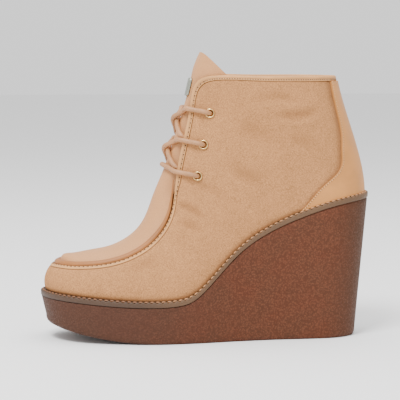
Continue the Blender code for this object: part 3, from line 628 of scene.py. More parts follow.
def arch_over(lane, across, height):
    """Point over the tongue's arch."""
    step = 2 * LANE_STEP
    run = front_arch(lane + step, across)[0] - front_arch(lane - step, across)[0]
    ends = front_arch(lane, [max(across - SLOPE_REACH, -1), min(across + SLOPE_REACH, 1)])
    return front_arch(lane, across)[0] + unit(np.cross(run, ends[1] - ends[0])) * height


def throat_lane(height):
    """Lane where the throat's edge stands at a height."""
    lanes = np.linspace(rib_at(7), rib_at(11), 200)
    return float(np.interp(height, TOP_EDGE(lanes)[:, 2], lanes))


def eyelet_frame(number, side):
    """Centre and outward direction of one eyelet on the wall's outer face."""
    height = PLATFORM_TOP + EYELET_FIRST + number * EYELET_PITCH
    goal = np.array([TOP_EDGE(throat_lane(height))[0, 0] + EYELET_SETBACK, height])
    place = np.array([mirrored(rib_at(10), side), 0.75])

    def miss(at):
        return layer_point(at[0], at[1], 0.0)[[0, 2]] - goal

    for _ in range(12):
        steps = (np.array([LANE_STEP, 0.0]), np.array([0.0, 1e-3]))
        slope = [(miss(place + s) - miss(place - s)) / (2 * s.sum()) for s in steps]
        place = place - np.linalg.solve(np.column_stack(slope), miss(place))
    out = skin_normals(place[:1], place[None, 1:])[0, 0]
    return layer_point(place[0], place[1], 0.0), out


def fold_height(x, y, z, strength):
    """Soft troughs and ridges of the upper at points of its skin."""
    height = np.zeros_like(x)
    for values in FOLD_ROWS:
        row = dict(zip(FOLD_COLUMNS, values))
        start = np.array([row["x0"], row["z0"]]) / 1000
        run = np.array([row["x1"], row["z1"]]) / 1000 - start
        length = np.linalg.norm(run)
        run = run / length
        along = ((x - start[0]) * run[0] + (z - start[1]) * run[1]) / length
        across = (x - start[0]) * -run[1] + (z - start[1]) * run[0]
        t = np.clip(along, 0.0, 1.0)
        across = across - row["bow"] / 1000 * np.sin(math.pi * t)
        past = (along - t) * length
        width = row["width"] / 1000
        fade = np.sin(math.pi * (FOLD_END + (1 - 2 * FOLD_END) * t)) * bell(past, width)
        ridges = bell(np.abs(across) - FOLD_RIDGE_AT * width, width)
        same_side = (y * row["side"]) > FOLD_SIDE_START
        relief = FOLD_RIDGE * ridges - bell(across, width)
        height += same_side * fade * row["depth"] / 1000 * relief
    return height * strength


def length_prop(name, description, default):
    """Property for a length of the boot."""
    return bpy.props.FloatProperty(
        name=name, description=description, default=default, min=0.0, precision=5, unit="LENGTH"
    )


def share_prop(name, description, default):
    """Property for a plain number."""
    return bpy.props.FloatProperty(name=name, description=description, default=default, min=0.0)


def colour_prop(name, description, default):
    """Property for a colour."""
    return bpy.props.FloatVectorProperty(
        name=name, description=description, default=default, subtype="COLOR", min=0.0, max=1.0
    )


class BootSizes(bpy.types.PropertyGroup):
    """Sizes that a designer may change without touching the frame."""

    lace_diameter: length_prop("Lace", "Diameter of the round lace", 0.0037)
    eyelet_outer: length_prop("Eyelet", "Outer diameter of an eyelet", 0.0075)
    seam_pitch: length_prop("Seam pitch", "Distance between stitches of the moccasin seam", 0.0034)
    collar_pitch: length_prop("Collar pitch", "Distance between stitches of collar and counter", 0.0019)
    welt_pitch: length_prop("Welt pitch", "Distance between stitches of the welt", 0.0042)
    thread: length_prop("Thread", "Width of the upper's thread", 0.0006)
    bead_width: length_prop("Raised seam", "Width of the raised seam round the apron", 0.0050)
    lip: length_prop("Lip", "Width of the folded lip along the moccasin seam", 0.0032)
    seam_line: length_prop("Seam line", "Distance of the moccasin stitches below the raised seam", 0.00075)
    fold_depth: share_prop("Fold depth", "Strength of the soft folds in the suede", 2.0)
    nap: length_prop("Nap", "Depth of the suede's nap", 0.0003)
    crepe_grain: length_prop("Crepe grain", "Depth of the pebbles on the crepe sole", 0.0006)


class BootColours(bpy.types.PropertyGroup):
    """Colours of the boot's materials."""

    suede: colour_prop("Suede", "Vamp and quarters", (0.455, 0.214, 0.085))
    nubuck: colour_prop("Nubuck", "Apron and tongue", (0.52, 0.250, 0.102))
    smooth: colour_prop("Smooth leather", "Raised seam", (0.32, 0.122, 0.034))
    folded: colour_prop("Folded leather", "Binding and folded lip", (0.56, 0.275, 0.100))
    counter: colour_prop("Counter", "Heel counter and back stay", (0.54, 0.232, 0.060))
    lining: colour_prop("Lining", "Lining and sock", (0.50, 0.26, 0.12))
    crepe: colour_prop("Crepe", "Wedge and platform", (0.108, 0.034, 0.0133))
    welt: colour_prop("Welt", "Welt strip", (0.105, 0.050, 0.0175))
    welt_thread: colour_prop("Welt thread", "Stitching of the welt", (0.46, 0.22, 0.095))
    lace: colour_prop("Lace", "Round lace", (0.42, 0.200, 0.082))
    thread: colour_prop("Thread", "Light stitching", (0.74, 0.42, 0.19))
    # Painted shade: dark dots that stand for the needle holes between stitches
    hole_shade: colour_prop("Pinhole", "Needle holes and shadowed gaps", (0.055, 0.022, 0.009))
    brass: colour_prop("Eyelet metal", "Eyelets", (0.72, 0.50, 0.22))
    plate: colour_prop("Plate metal", "Plate on the tongue", (0.36, 0.37, 0.31))


class Graph:
    """Adds nodes to one tree, each a step further to the right."""

    def __init__(self, tree):
        self.tree = tree

    def set(self, socket, value):
        """Link a socket to another, or give it a constant."""
        if isinstance(value, bpy.types.NodeSocket):
            self.tree.links.new(value, socket)
        else:
            socket.default_value = value

    def add(self, kind, inputs=None, **settings):
        """New node with its settings and inputs."""
        item = self.tree.nodes.new(kind)
        item.location = (180 * len(self.tree.nodes), 0)
        for key, value in settings.items():
            setattr(item, key, value)
        for key, value in (inputs or {}).items():
            self.set(item.inputs[key], value)
        return item

    def math(self, operation, first, second=0.0):
        """Result of one sum."""
        item = self.add("ShaderNodeMath", {0: first, 1: second}, operation=operation)
        return item.outputs[0]

    def span(self, value, low, high, to_low=0.0, to_high=1.0):
        """Value mapped from one range to another and held there."""
        names = {"Value": value, "From Min": low, "From Max": high, "To Min": to_low, "To Max": to_high}
        return self.add("ShaderNodeMapRange", names).outputs[0]

    def mix(self, factor, first, second, blend="MIX"):
        """Mixed colour."""
        item = self.add("ShaderNodeMix", {0: factor}, data_type="RGBA", blend_type=blend)
        self.set(item.inputs[6], first)
        self.set(item.inputs[7], second)
        return item.outputs[2]

    def noise(self, vector, scale, detail=2.0, roughness=0.5, distortion=0.0):
        """Noise value."""
        names = {"Vector": vector, "Scale": scale, "Detail": detail, "Roughness": roughness}
        names["Distortion"] = distortion
        return self.add("ShaderNodeTexNoise", names).outputs[0]


def open_group(name, inputs, outputs):
    """Empty shader group with named inputs and outputs."""
    tree = bpy.data.node_groups.new(name, "ShaderNodeTree")
    for label, kind, value in inputs:
        socket = tree.interface.new_socket(label, in_out="INPUT", socket_type=kind)
        if value is not None:
            socket.default_value = value
    for label, kind in outputs:
        tree.interface.new_socket(label, in_out="OUTPUT", socket_type=kind)
    graph = Graph(tree)
    return graph, graph.add("NodeGroupInput").outputs, graph.add("NodeGroupOutput").inputs


VECTOR, FLOAT = "NodeSocketVector", "NodeSocketFloat"


def nap_group():
    """Fine speckle of brushed leather and the broad marks of the brush."""
    name = "Nap"
    if name in bpy.data.node_groups:
        return bpy.data.node_groups[name]
    graph, inputs, outputs = open_group(
        name,
        [("Vector", VECTOR, None), ("Scale", FLOAT, 1100.0)],
        [("Speckle", FLOAT), ("Brush", FLOAT), ("Height", FLOAT)],
    )
    vector, scale = inputs["Vector"], inputs["Scale"]
    fine = graph.noise(vector, scale, 3.0, 0.7)
    finer = graph.noise(vector, graph.math("MULTIPLY", scale, 2.3), 2.0, 0.6)
    broad = graph.noise(vector, graph.math("MULTIPLY", scale, 0.035), 3.0, 0.6, 0.6)
    middle = graph.noise(vector, graph.math("MULTIPLY", scale, 0.2), 2.0, 0.55)
    graph.set(outputs["Speckle"], graph.span(fine, 0.32, 0.68))
    brush = graph.math("ADD", graph.math("MULTIPLY", broad, 0.65), graph.math("MULTIPLY", middle, 0.35))
    graph.set(outputs["Brush"], graph.span(brush, 0.36, 0.64))
    graph.set(outputs["Height"], graph.math("ADD", fine, graph.math("MULTIPLY", finer, 0.6)))
    return graph.tree


def grain_group():
    """Shallow cells of smooth leather, with slow changes of tone."""
    name = "Leather Grain"
    if name in bpy.data.node_groups:
        return bpy.data.node_groups[name]
    graph, inputs, outputs = open_group(
        name,
        [("Vector", VECTOR, None), ("Scale", FLOAT, 1500.0)],
        [("Height", FLOAT), ("Tone", FLOAT)],
    )
    vector, scale = inputs["Vector"], inputs["Scale"]
    cells = graph.add(
        "ShaderNodeTexVoronoi", {"Vector": vector, "Scale": scale}, feature="DISTANCE_TO_EDGE"
    ).outputs[0]
    fine = graph.noise(vector, graph.math("MULTIPLY", scale, 1.7), 2.0)
    height = graph.math("ADD", graph.span(cells, 0.0, 0.25), graph.math("MULTIPLY", fine, 0.5))
    graph.set(outputs["Height"], height)
    slow = graph.noise(vector, graph.math("MULTIPLY", scale, 0.04), 3.0, 0.55)
    graph.set(outputs["Tone"], graph.span(slow, 0.35, 0.65))
    return graph.tree


def pebble_group():
    """Pebbled, slightly stringy face of crepe rubber."""
    name = "Crepe Pebble"
    if name in bpy.data.node_groups:
        return bpy.data.node_groups[name]
    graph, inputs, outputs = open_group(
        name,
        [("Vector", VECTOR, None), ("Scale", FLOAT, 620.0)],
        [("Height", FLOAT), ("Crumb", FLOAT), ("Cloud", FLOAT)],
    )
    vector, scale = inputs["Vector"], inputs["Scale"]
    bend = graph.noise(vector, graph.math("MULTIPLY", scale, 0.55), 2.0)
    shaken = graph.add("ShaderNodeVectorMath", {0: vector}, operation="ADD")
    push = graph.add("ShaderNodeVectorMath", {0: bend, 1: (0.0016, 0.0016, 0.0016)}, operation="MULTIPLY")
    graph.set(shaken.inputs[1], push.outputs[0])
    cells = graph.add(
        "ShaderNodeTexVoronoi",
        {"Vector": shaken.outputs[0], "Scale": scale, "Smoothness": 0.35},
        feature="SMOOTH_F1",
    ).outputs[0]
    strings = graph.noise(shaken.outputs[0], graph.math("MULTIPLY", scale, 0.8), 3.0, 0.6, 1.4)
    dome = graph.span(cells, 0.0, 0.75, 1.0, 0.0)
    height = graph.math("ADD", graph.math("MULTIPLY", dome, 0.6), graph.math("MULTIPLY", strings, 0.7))
    graph.set(outputs["Height"], height)
    graph.set(outputs["Crumb"], graph.span(height, 0.45, 0.95))
    slow = graph.noise(vector, graph.math("MULTIPLY", scale, 0.06), 3.0, 0.6)
    graph.set(outputs["Cloud"], graph.span(slow, 0.36, 0.64))
    return graph.tree


def reach_group():
    """Soft step along one axis of the boot."""
    name = "Reach"
    if name in bpy.data.node_groups:
        return bpy.data.node_groups[name]
    graph, inputs, outputs = open_group(
        name,
        [("Distance", FLOAT, 0.0), ("From", FLOAT, 0.0), ("To", FLOAT, 1.0)],
        [("Factor", FLOAT)],
    )
    names = {"Value": inputs["Distance"], "From Min": inputs["From"], "From Max": inputs["To"]}
    step = graph.add("ShaderNodeMapRange", names, interpolation_type="SMOOTHSTEP")
    graph.set(outputs["Factor"], step.outputs[0])
    return graph.tree


def start_material(name, roughness):
    """Material with its shader, graph and object coordinates."""
    made = bpy.data.materials.new(name)
    made.use_nodes = True
    graph = Graph(made.node_tree)
    shader = made.node_tree.nodes["Principled BSDF"]
    shader.inputs["Roughness"].default_value = roughness
    coordinates = graph.add("ShaderNodeTexCoord").outputs["Object"]
    return made, graph, shader, coordinates


def use_group(graph, tree, inputs):
    """Place a shader group with its inputs."""
    item = graph.add("ShaderNodeGroup")
    item.node_tree = tree
    for key, value in inputs.items():
        graph.set(item.inputs[key], value)
    return item.outputs


def shaded(colour, factor):
    """Colour made lighter or darker, as RGBA."""
    return tuple(min(1.0, c * factor) for c in colour) + (1.0,)


def tinted(colour, factors):
    """Colour with each channel scaled by its own factor, as RGBA."""
    return tuple(channel * factor for channel, factor in zip(colour, factors)) + (1.0,)


def bump(graph, shader, height, depth, strength=1.0):
    """Bump from a height whose full range is worth a depth in metres."""
    names = {"Height": height, "Distance": depth, "Strength": strength}
    graph.set(shader.inputs["Normal"], graph.add("ShaderNodeBump", names).outputs[0])


# Painted shade: the mesh's fold and seam values darken the colour in creases, grooves and beside edges
PAINTED_MESH_SHADES = (("fold", 0.26), ("seam", 0.75))


def paint_mesh_shade(graph, colour_socket, colour):
    """Paint shade into a colour in folds and beside seams, from the mesh's own values."""
    parts = []
    for label, strength in PAINTED_MESH_SHADES:
        value = graph.add("ShaderNodeAttribute", attribute_name=label).outputs["Fac"]
        parts.append(graph.math("MULTIPLY", value, strength))
    amount = graph.span(graph.math("ADD", *parts), 0.0, 1.0)
    return graph.mix(amount, colour_socket, tinted(colour, (0.22, 0.16, 0.14)))


def nap_material(name, colour, contrast, depth, roughness, gloss, scale):
    """Suede or nubuck: speckled nap, brush marks and a little sheen."""
    made, graph, shader, place = start_material(name, roughness)
    nap = use_group(graph, nap_group(), {"Vector": place, "Scale": scale})
    tone = graph.mix(nap["Speckle"], shaded(colour, 1 - contrast), shaded(colour, 1 + contrast))
    brushed = graph.mix(nap["Brush"], shaded((1, 1, 1), 1 - contrast * 0.35), (1.0, 1.0, 1.0, 1.0))
    whole = graph.mix(1.0, tone, brushed, "MULTIPLY")
    graph.set(shader.inputs["Base Color"], paint_mesh_shade(graph, whole, colour))
    shader.inputs["Sheen Weight"].default_value = 0.03
    shader.inputs["Sheen Roughness"].default_value = 0.5
    shader.inputs["Sheen Tint"].default_value = shaded(colour, 1.3)
    shader.inputs["Specular IOR Level"].default_value = gloss
    bump(graph, shader, nap["Height"], depth, 0.6)
    return made


def grained(graph, place, colour, scale, dark=0.92, light=1.08):
    """Outputs of the leather's grain, and the colour between its two tones."""
    leather = use_group(graph, grain_group(), {"Vector": place, "Scale": scale})
    return leather, graph.mix(leather["Tone"], shaded(colour, dark), shaded(colour, light))


def leather_material(name, colour, roughness, coat=0.06):
    """Smooth leather with a fine grain."""
    made, graph, shader, place = start_material(name, roughness)
    leather, tone = grained(graph, place, colour, 1500.0)
    graph.set(shader.inputs["Base Color"], paint_mesh_shade(graph, tone, colour))
    gloss = graph.span(leather["Tone"], 0, 1, roughness - 0.05, roughness + 0.06)
    graph.set(shader.inputs["Roughness"], gloss)
    shader.inputs["Coat Weight"].default_value = coat
    shader.inputs["Coat Roughness"].default_value = 0.45
    shader.inputs["Specular IOR Level"].default_value = 0.25
    bump(graph, shader, leather["Height"], 0.00008, 0.5)
    return made


def crepe_material(name, colour, depth):
    """Pebbled crepe rubber, redder in patches, darker towards the heel's back edge."""
    made, graph, shader, place = start_material(name, 0.62)
    crepe = use_group(graph, pebble_group(), {"Vector": place, "Scale": 720.0})
    tone = graph.mix(crepe["Crumb"], shaded(colour, 0.45), shaded(colour, 1.65))
    clouded = graph.mix(crepe["Cloud"], tinted(colour, (1.12, 0.92, 0.86)), shaded(colour, 0.94))
    both = graph.mix(0.5, tone, clouded)
    axes = graph.add("ShaderNodeSeparateXYZ", {"Vector": place}).outputs
    back = use_group(graph, reach_group(), {"Distance": axes["X"], "From": 0.085, "To": 0.124})
    toe = use_group(graph, reach_group(), {"Distance": axes["X"], "From": 0.030, "To": -0.080})
    grey = tinted(colour, (0.42, 0.62, 0.95))
    darker_back = tinted(colour, (0.55, 0.74, 0.72))
    shade = graph.mix(graph.math("MULTIPLY", toe["Factor"], 0.6), both, grey)
    shade = graph.mix(graph.math("MULTIPLY", back["Factor"], 0.75), shade, darker_back)
    graph.set(shader.inputs["Base Color"], shade)
    graph.set(shader.inputs["Roughness"], graph.span(crepe["Crumb"], 0, 1, 0.72, 0.5))
    shader.inputs["Specular IOR Level"].default_value = 0.25
    bump(graph, shader, crepe["Height"], depth, 0.8)
    return made


def welt_material(name, colour):
    """Welt strip: tan towards the heel, browner round the toe."""
    made, graph, shader, place = start_material(name, 0.55)
    leather, tone = grained(graph, place, colour, 1100.0)
    axes = graph.add("ShaderNodeSeparateXYZ", {"Vector": place}).outputs
    fore = use_group(graph, reach_group(), {"Distance": axes["X"], "From": -0.010, "To": -0.060})
    brown = tinted(colour, (0.50, 0.46, 0.48))
    graph.set(shader.inputs["Base Color"], graph.mix(fore["Factor"], tone, brown))
    bump(graph, shader, leather["Height"], 0.0001, 0.5)
    return made


def lace_material(name, colour):
    """Round leather lace: a fine grain and a waxed gloss."""
    made, graph, shader, place = start_material(name, 0.55)
    leather, tone = grained(graph, place, colour, 1900.0, 0.86, 1.1)
    graph.set(shader.inputs["Base Color"], tone)
    shader.inputs["Coat Weight"].default_value = 0.15
    shader.inputs["Coat Roughness"].default_value = 0.4
    bump(graph, shader, leather["Height"], 0.0001, 0.5)
    return made


def thread_material(name, colour):
    """Twisted thread."""
    made, graph, shader, place = start_material(name, 0.7)
    fuzz = graph.noise(place, 2400.0, 2.0)
    tone = graph.mix(graph.span(fuzz, 0.3, 0.7), shaded(colour, 0.82), shaded(colour, 1.12))
    graph.set(shader.inputs["Base Color"], tone)
    bump(graph, shader, fuzz, 0.0001, 0.5)
    return made


def metal_material(name, colour, roughness):
    """Plain metal with faint scratches."""
    made, graph, shader, place = start_material(name, roughness)
    scratch = graph.noise(place, 900.0, 4.0, 0.7, 1.5)
    graph.set(shader.inputs["Base Color"], graph.mix(scratch, shaded(colour, 0.88), shaded(colour, 1.08)))
    graph.set(shader.inputs["Roughness"], graph.span(scratch, 0.3, 0.7, roughness - 0.06, roughness + 0.08))
    shader.inputs["Metallic"].default_value = 1.0
    bump(graph, shader, scratch, 0.00002, 0.4)
    return made


def finish(key):
    """Material of the boot by its key, made when first asked for."""
    name = f"{key}_finish"
    if name in bpy.data.materials:
        return bpy.data.materials[name]
    c, s = bpy.context.scene.boot_colours, bpy.context.scene.boot_sizes
    makers = {
        "suede": lambda: nap_material(
            name, c.suede, contrast=0.34, depth=s.nap, roughness=0.95, gloss=0.08, scale=1250.0
        ),
        "nubuck": lambda: nap_material(
            name, c.nubuck, contrast=0.12, depth=s.nap * 0.4, roughness=0.55, gloss=0.3, scale=1500.0
        ),
        "smooth_leather": lambda: leather_material(name, c.smooth, roughness=0.45),
        "folded_leather": lambda: leather_material(name, c.folded, roughness=0.52),
        "counter_leather": lambda: leather_material(name, c.counter, roughness=0.42, coat=0.1),
        "lining_leather": lambda: leather_material(name, c.lining, roughness=0.75, coat=0.0),
        "crepe_rubber": lambda: crepe_material(name, c.crepe, s.crepe_grain),
        "welt_strip": lambda: welt_material(name, c.welt),
        "waxed_lace": lambda: lace_material(name, c.lace),
        "light_thread": lambda: thread_material(name, c.thread),
        "welt_thread": lambda: welt_material(name, c.welt_thread),
        "hole_shade": lambda: thread_material(name, c.hole_shade),
        "eyelet_metal": lambda: metal_material(name, c.brass, roughness=0.28),
        "plate_metal": lambda: metal_material(name, c.plate, roughness=0.4),
    }
    return makers[key]()


def settle(piece, node_names):
    """Make a finished piece ride on the boot and stand for its CAD nodes."""
    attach(piece, "root")
    if node_names:
        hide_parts(*node_names)
    return piece


def make_piece(name, points, faces, finishes, face_slots=None, shades=None):
    """Closed mesh object with its faces pointing out; shades are named values at its points."""
    mesh = bpy.data.meshes.new(name)
    mesh.from_pydata((np.asarray(points) + SHIFT).tolist(), [], faces)
    for label, values in (shades or {}).items():
        mesh.attributes.new(label, "FLOAT", "POINT")
        mesh.attributes[label].data.foreach_set("value", np.asarray(values, dtype=np.float32).ravel())
    for item in finishes:
        mesh.materials.append(finish(item))
    if face_slots is not None:
        mesh.polygons.foreach_set("material_index", np.asarray(face_slots, dtype=np.int32))
    work = bmesh.new()
    work.from_mesh(mesh)
    bmesh.ops.remove_doubles(work, verts=work.verts, dist=1e-6)
    bmesh.ops.dissolve_degenerate(work, edges=work.edges, dist=1e-6)
    bmesh.ops.recalc_face_normals(work, faces=work.faces)
    work.to_mesh(mesh)
    work.free()
    mesh.shade_smooth()
    mesh.set_sharp_from_angle(angle=math.radians(50))
    piece = bpy.data.objects.new(name, mesh)
    bpy.context.scene.collection.objects.link(piece)
    return piece


def ring_faces(count, sides, closed):
    """Quads between equal cross sections, each closed on itself."""
    i = np.arange(count if closed else count - 1)[:, None]
    j = np.arange(sides)[None, :]
    k, n = (i + 1) % count, (j + 1) % sides
    return np.stack([i * sides + j, i * sides + n, k * sides + n, k * sides + j], -1).reshape(-1, 4)


def section_piece(name, sections, finishes, closed, column_slots=None, shades=None):
    """Solid through equal cross sections, closed on itself or with flat ends."""
    count, sides = sections.shape[:2]
    faces = ring_faces(count, sides, closed).tolist()
    slots = None
    if column_slots is not None:
        slots = np.tile(column_slots, len(faces) // sides)
    if not closed:
        faces.append(list(range(sides)))
        faces.append([(count - 1) * sides + j for j in range(sides)])
        if slots is not None:
            slots = np.append(slots, [0, 0])
    return make_piece(name, sections.reshape(-1, 3), faces, finishes, slots, shades)


def sheet_piece(name, outer, inner, finishes, inner_slot=0, shades=None):
    """Solid between two matched grids of points."""
    rows, columns = outer.shape[:2]
    points = np.concatenate([outer.reshape(-1, 3), inner.reshape(-1, 3)])
    index = np.arange(rows * columns).reshape(rows, columns)
    quads = np.stack([index[:-1, :-1], index[:-1, 1:], index[1:, 1:], index[1:, :-1]], -1).reshape(-1, 4)
    below = rows * columns
    faces = [quads, quads + below]
    for line in (index[0], index[-1], index[:, 0], index[:, -1]):
        faces.append(np.stack([line[:-1], line[1:], line[1:] + below, line[:-1] + below], -1))
    slots = np.concatenate([np.full(len(f), inner_slot if i == 1 else 0) for i, f in enumerate(faces)])
    return make_piece(name, points, np.concatenate(faces).tolist(), finishes, slots, shades)


def stacked_piece(name, loops, finishes):
    """Solid of matched loops stacked in order, its two ends filled from side to side."""
    count = loops.shape[1]
    half = count // 2
    faces = ring_faces(len(loops), count, False).tolist()
    for base in (0, (len(loops) - 1) * count):
        faces.append([base, base + 1, base + count - 1])
        for i in range(1, half - 1):
            faces.append([base + i, base + i + 1, base + count - i - 1, base + count - i])
        faces.append([base + half - 1, base + half, base + half + 1])
    return make_piece(name, loops.reshape(-1, 3), faces, finishes)


def paired_lanes(step):
    """Even number of lanes once round the boot, the medial side matched to the lateral."""
    side = even_lanes(0.0, SPAN, step)
    return np.concatenate([side, 2 * SPAN - side[-2:0:-1]])


def sole_loop(lanes, outward, drop):
    """Loop at a distance outside the feather edge and below the sole's top."""
    points = FEATHER(lanes) + np.reshape(outward, (-1, 1)) * plan_normals(lanes)
    points[:, 2] = sole_top(points[:, 0]) - drop
    return points


def tread_loop(lanes, extra_inset, rise):
    """Loop near the floor, inside the welt's edge."""
    inset = FLOOR_INSET(lanes)[:, :1] * FEATHER_WIDTH + extra_inset
    points = FEATHER(lanes) + (WELT_REACH - inset) * plan_normals(lanes)
    points[:, 2] = tread(points[:, 0]) + rise
    return points


def geometry_tree(name, sockets):
    """Geometry node tree with a geometry in and out, and named sizes."""
    tree = bpy.data.node_groups.new(name, "GeometryNodeTree")
    tree.interface.new_socket("Geometry", in_out="INPUT", socket_type="NodeSocketGeometry")
    for label, kind in sockets:
        tree.interface.new_socket(label, in_out="INPUT", socket_type=kind)
    tree.interface.new_socket("Geometry", in_out="OUTPUT", socket_type="NodeSocketGeometry")
    graph = Graph(tree)
    return graph, graph.add("NodeGroupInput").outputs, graph.add("NodeGroupOutput").inputs


def end_tree(graph, inputs, outputs, geometry):
    """Make the instances real, smooth and coated with the tree's material."""
    real = graph.add("GeometryNodeRealizeInstances", {0: geometry})
    smooth = graph.add("GeometryNodeSetShadeSmooth", {"Geometry": real.outputs[0]})
    coated = graph.add("GeometryNodeSetMaterial", {"Geometry": smooth.outputs[0]})
    graph.set(coated.inputs["Material"], inputs["Material"])
    graph.set(outputs["Geometry"], coated.outputs[0])
    return graph.tree


def stitch_tree():
    """Stitches or needle holes in even steps along a path."""
    name = "Stitches"
    if name in bpy.data.node_groups:
        return bpy.data.node_groups[name]
    sizes = [("Pitch", FLOAT), ("Length", FLOAT), ("Width", FLOAT), ("Start", FLOAT)]
    graph, inputs, outputs = geometry_tree(name, sizes + [("Material", "NodeSocketMaterial")])
    path = graph.add("GeometryNodeMeshToCurve", {0: inputs["Geometry"]})
    trimmed = graph.add("GeometryNodeTrimCurve", {0: path.outputs[0]}, mode="LENGTH")
    graph.set(trimmed.inputs[4], inputs["Start"])
    trimmed.inputs[5].default_value = 10.0
    steps = graph.add("GeometryNodeCurveToPoints", {"Curve": trimmed.outputs[0]}, mode="LENGTH")
    graph.set(steps.inputs["Length"], inputs["Pitch"])
    ball = graph.add("GeometryNodeMeshUVSphere", {"Segments": 8, "Rings": 6, "Radius": 0.5})
    scale = graph.add("ShaderNodeCombineXYZ")
    for axis, size in zip("XYZ", ("Width", "Width", "Length")):
        graph.set(scale.inputs[axis], inputs[size])
    stitch = graph.add("GeometryNodeTransform", {"Geometry": ball.outputs[0]})
    graph.set(stitch.inputs["Scale"], scale.outputs[0])
    copies = graph.add("GeometryNodeInstanceOnPoints", {"Points": steps.outputs["Points"]})
    graph.set(copies.inputs["Instance"], stitch.outputs[0])
    graph.set(copies.inputs["Rotation"], steps.outputs["Rotation"])
    return end_tree(graph, inputs, outputs, copies.outputs[0])


def lace_tree():
    """Round lace along a path; the path's thickness attribute flattens it where it is hidden."""
    name = "Round Lace"
    if name in bpy.data.node_groups:
        return bpy.data.node_groups[name]
    sizes = [("Diameter", FLOAT), ("Material", "NodeSocketMaterial")]
    graph, inputs, outputs = geometry_tree(name, sizes)
    path = graph.add("GeometryNodeMeshToCurve", {0: inputs["Geometry"]})
    circle = graph.add("GeometryNodeCurvePrimitiveCircle", {"Resolution": 18})
    graph.set(circle.inputs["Radius"], graph.math("MULTIPLY", inputs["Diameter"], 0.5))
    thickness = graph.add("GeometryNodeInputNamedAttribute", {"Name": "thickness"}, data_type="FLOAT")
    swept = graph.add("GeometryNodeCurveToMesh", {"Curve": path.outputs[0], "Fill Caps": True})
    graph.set(swept.inputs["Profile Curve"], circle.outputs[0])
    graph.set(swept.inputs["Scale"], thickness.outputs[0])
    return end_tree(graph, inputs, outputs, swept.outputs[0])


def path_mesh(name, lines, thickness=None):
    """Mesh of open lines of points."""
    points, edges = [], []
    for line in lines:
        start = len(points)
        points += (np.asarray(line) + SHIFT).tolist()
        edges += [(start + i, start + i + 1) for i in range(len(line) - 1)]
    mesh = bpy.data.meshes.new(name)
    mesh.from_pydata(points, edges, [])
    if thickness is not None:
        mesh.attributes.new("thickness", "FLOAT", "POINT")
        mesh.attributes["thickness"].data.foreach_set("value", np.concatenate(thickness))
    return mesh


def run_tree(name, mesh, tree, values):
    """Plain mesh object made by a geometry node tree."""
    piece = bpy.data.objects.new(name, mesh)
    bpy.context.scene.collection.objects.link(piece)
    modifier = piece.modifiers.new("shape", "NODES")
    modifier.node_group = tree
    for item in tree.interface.items_tree:
        if item.item_type == "SOCKET" and item.in_out == "INPUT" and item.name in values:
            modifier[item.identifier] = values[item.name]
    return plain(piece)


def plain(piece):
    """Replace an object's mesh by its evaluated one and drop its modifiers."""
    graph = bpy.context.evaluated_depsgraph_get()
    done = bpy.data.meshes.new_from_object(piece.evaluated_get(graph), depsgraph=graph)
    if not done.polygons:
        raise RuntimeError(f"{piece.name} came out empty")
    piece.modifiers.clear()
    piece.data = done
    done.name = piece.name
    return piece


def stitches(name, lines, pitch, length, width, start, thread):
    """Row of stitches along lines of points."""
    values = {"Pitch": pitch, "Length": length, "Width": width, "Start": start}
    values["Material"] = finish(thread)
    return settle(run_tree(name, path_mesh(name, lines), stitch_tree(), values), ())


def wall_shares(lanes, drops):
    """Shares of the ribs at distances below the wall's top edge, under its trim."""
    trim = band(lanes)
    trim = np.where(trim > 0, trim + CLEAR, 0.0)[:, None]
    return 1 - (trim + drops) / rib_lengths(lanes)[:, None]


COUNTER_EDGE = Spline([row[0] for row in COUNTER_EDGE_ROWS], [row[1] for row in COUNTER_EDGE_ROWS])


def counter_edge(heights):
    """Lateral lane of the counter's front edge at shares of the height."""
    heights = np.asarray(heights, dtype=float)
    ribs = COUNTER_EDGE(np.clip(heights.ravel(), 0.0, 1.0))[:, 0].reshape(heights.shape)
    return np.interp(ribs, range(RIB_COUNT), KNOTS)


# Rows of the suede below its lip, closer where the lip presses in
WALL_STEPS = np.array([-0.15, 0.05, 0.2, 0.4, 0.7, 1.1, 1.7, 2.5, 3.5, 4.8]) / 1000


def lip_drop(lanes, sizes):
    """How far the folded edge laps over the wall, below the wall's own top edge."""
    trim = band(lanes)
    return np.maximum(np.maximum(trim, sizes.lip) - np.where(trim > 0, trim + CLEAR, 0.0), 0.0002)


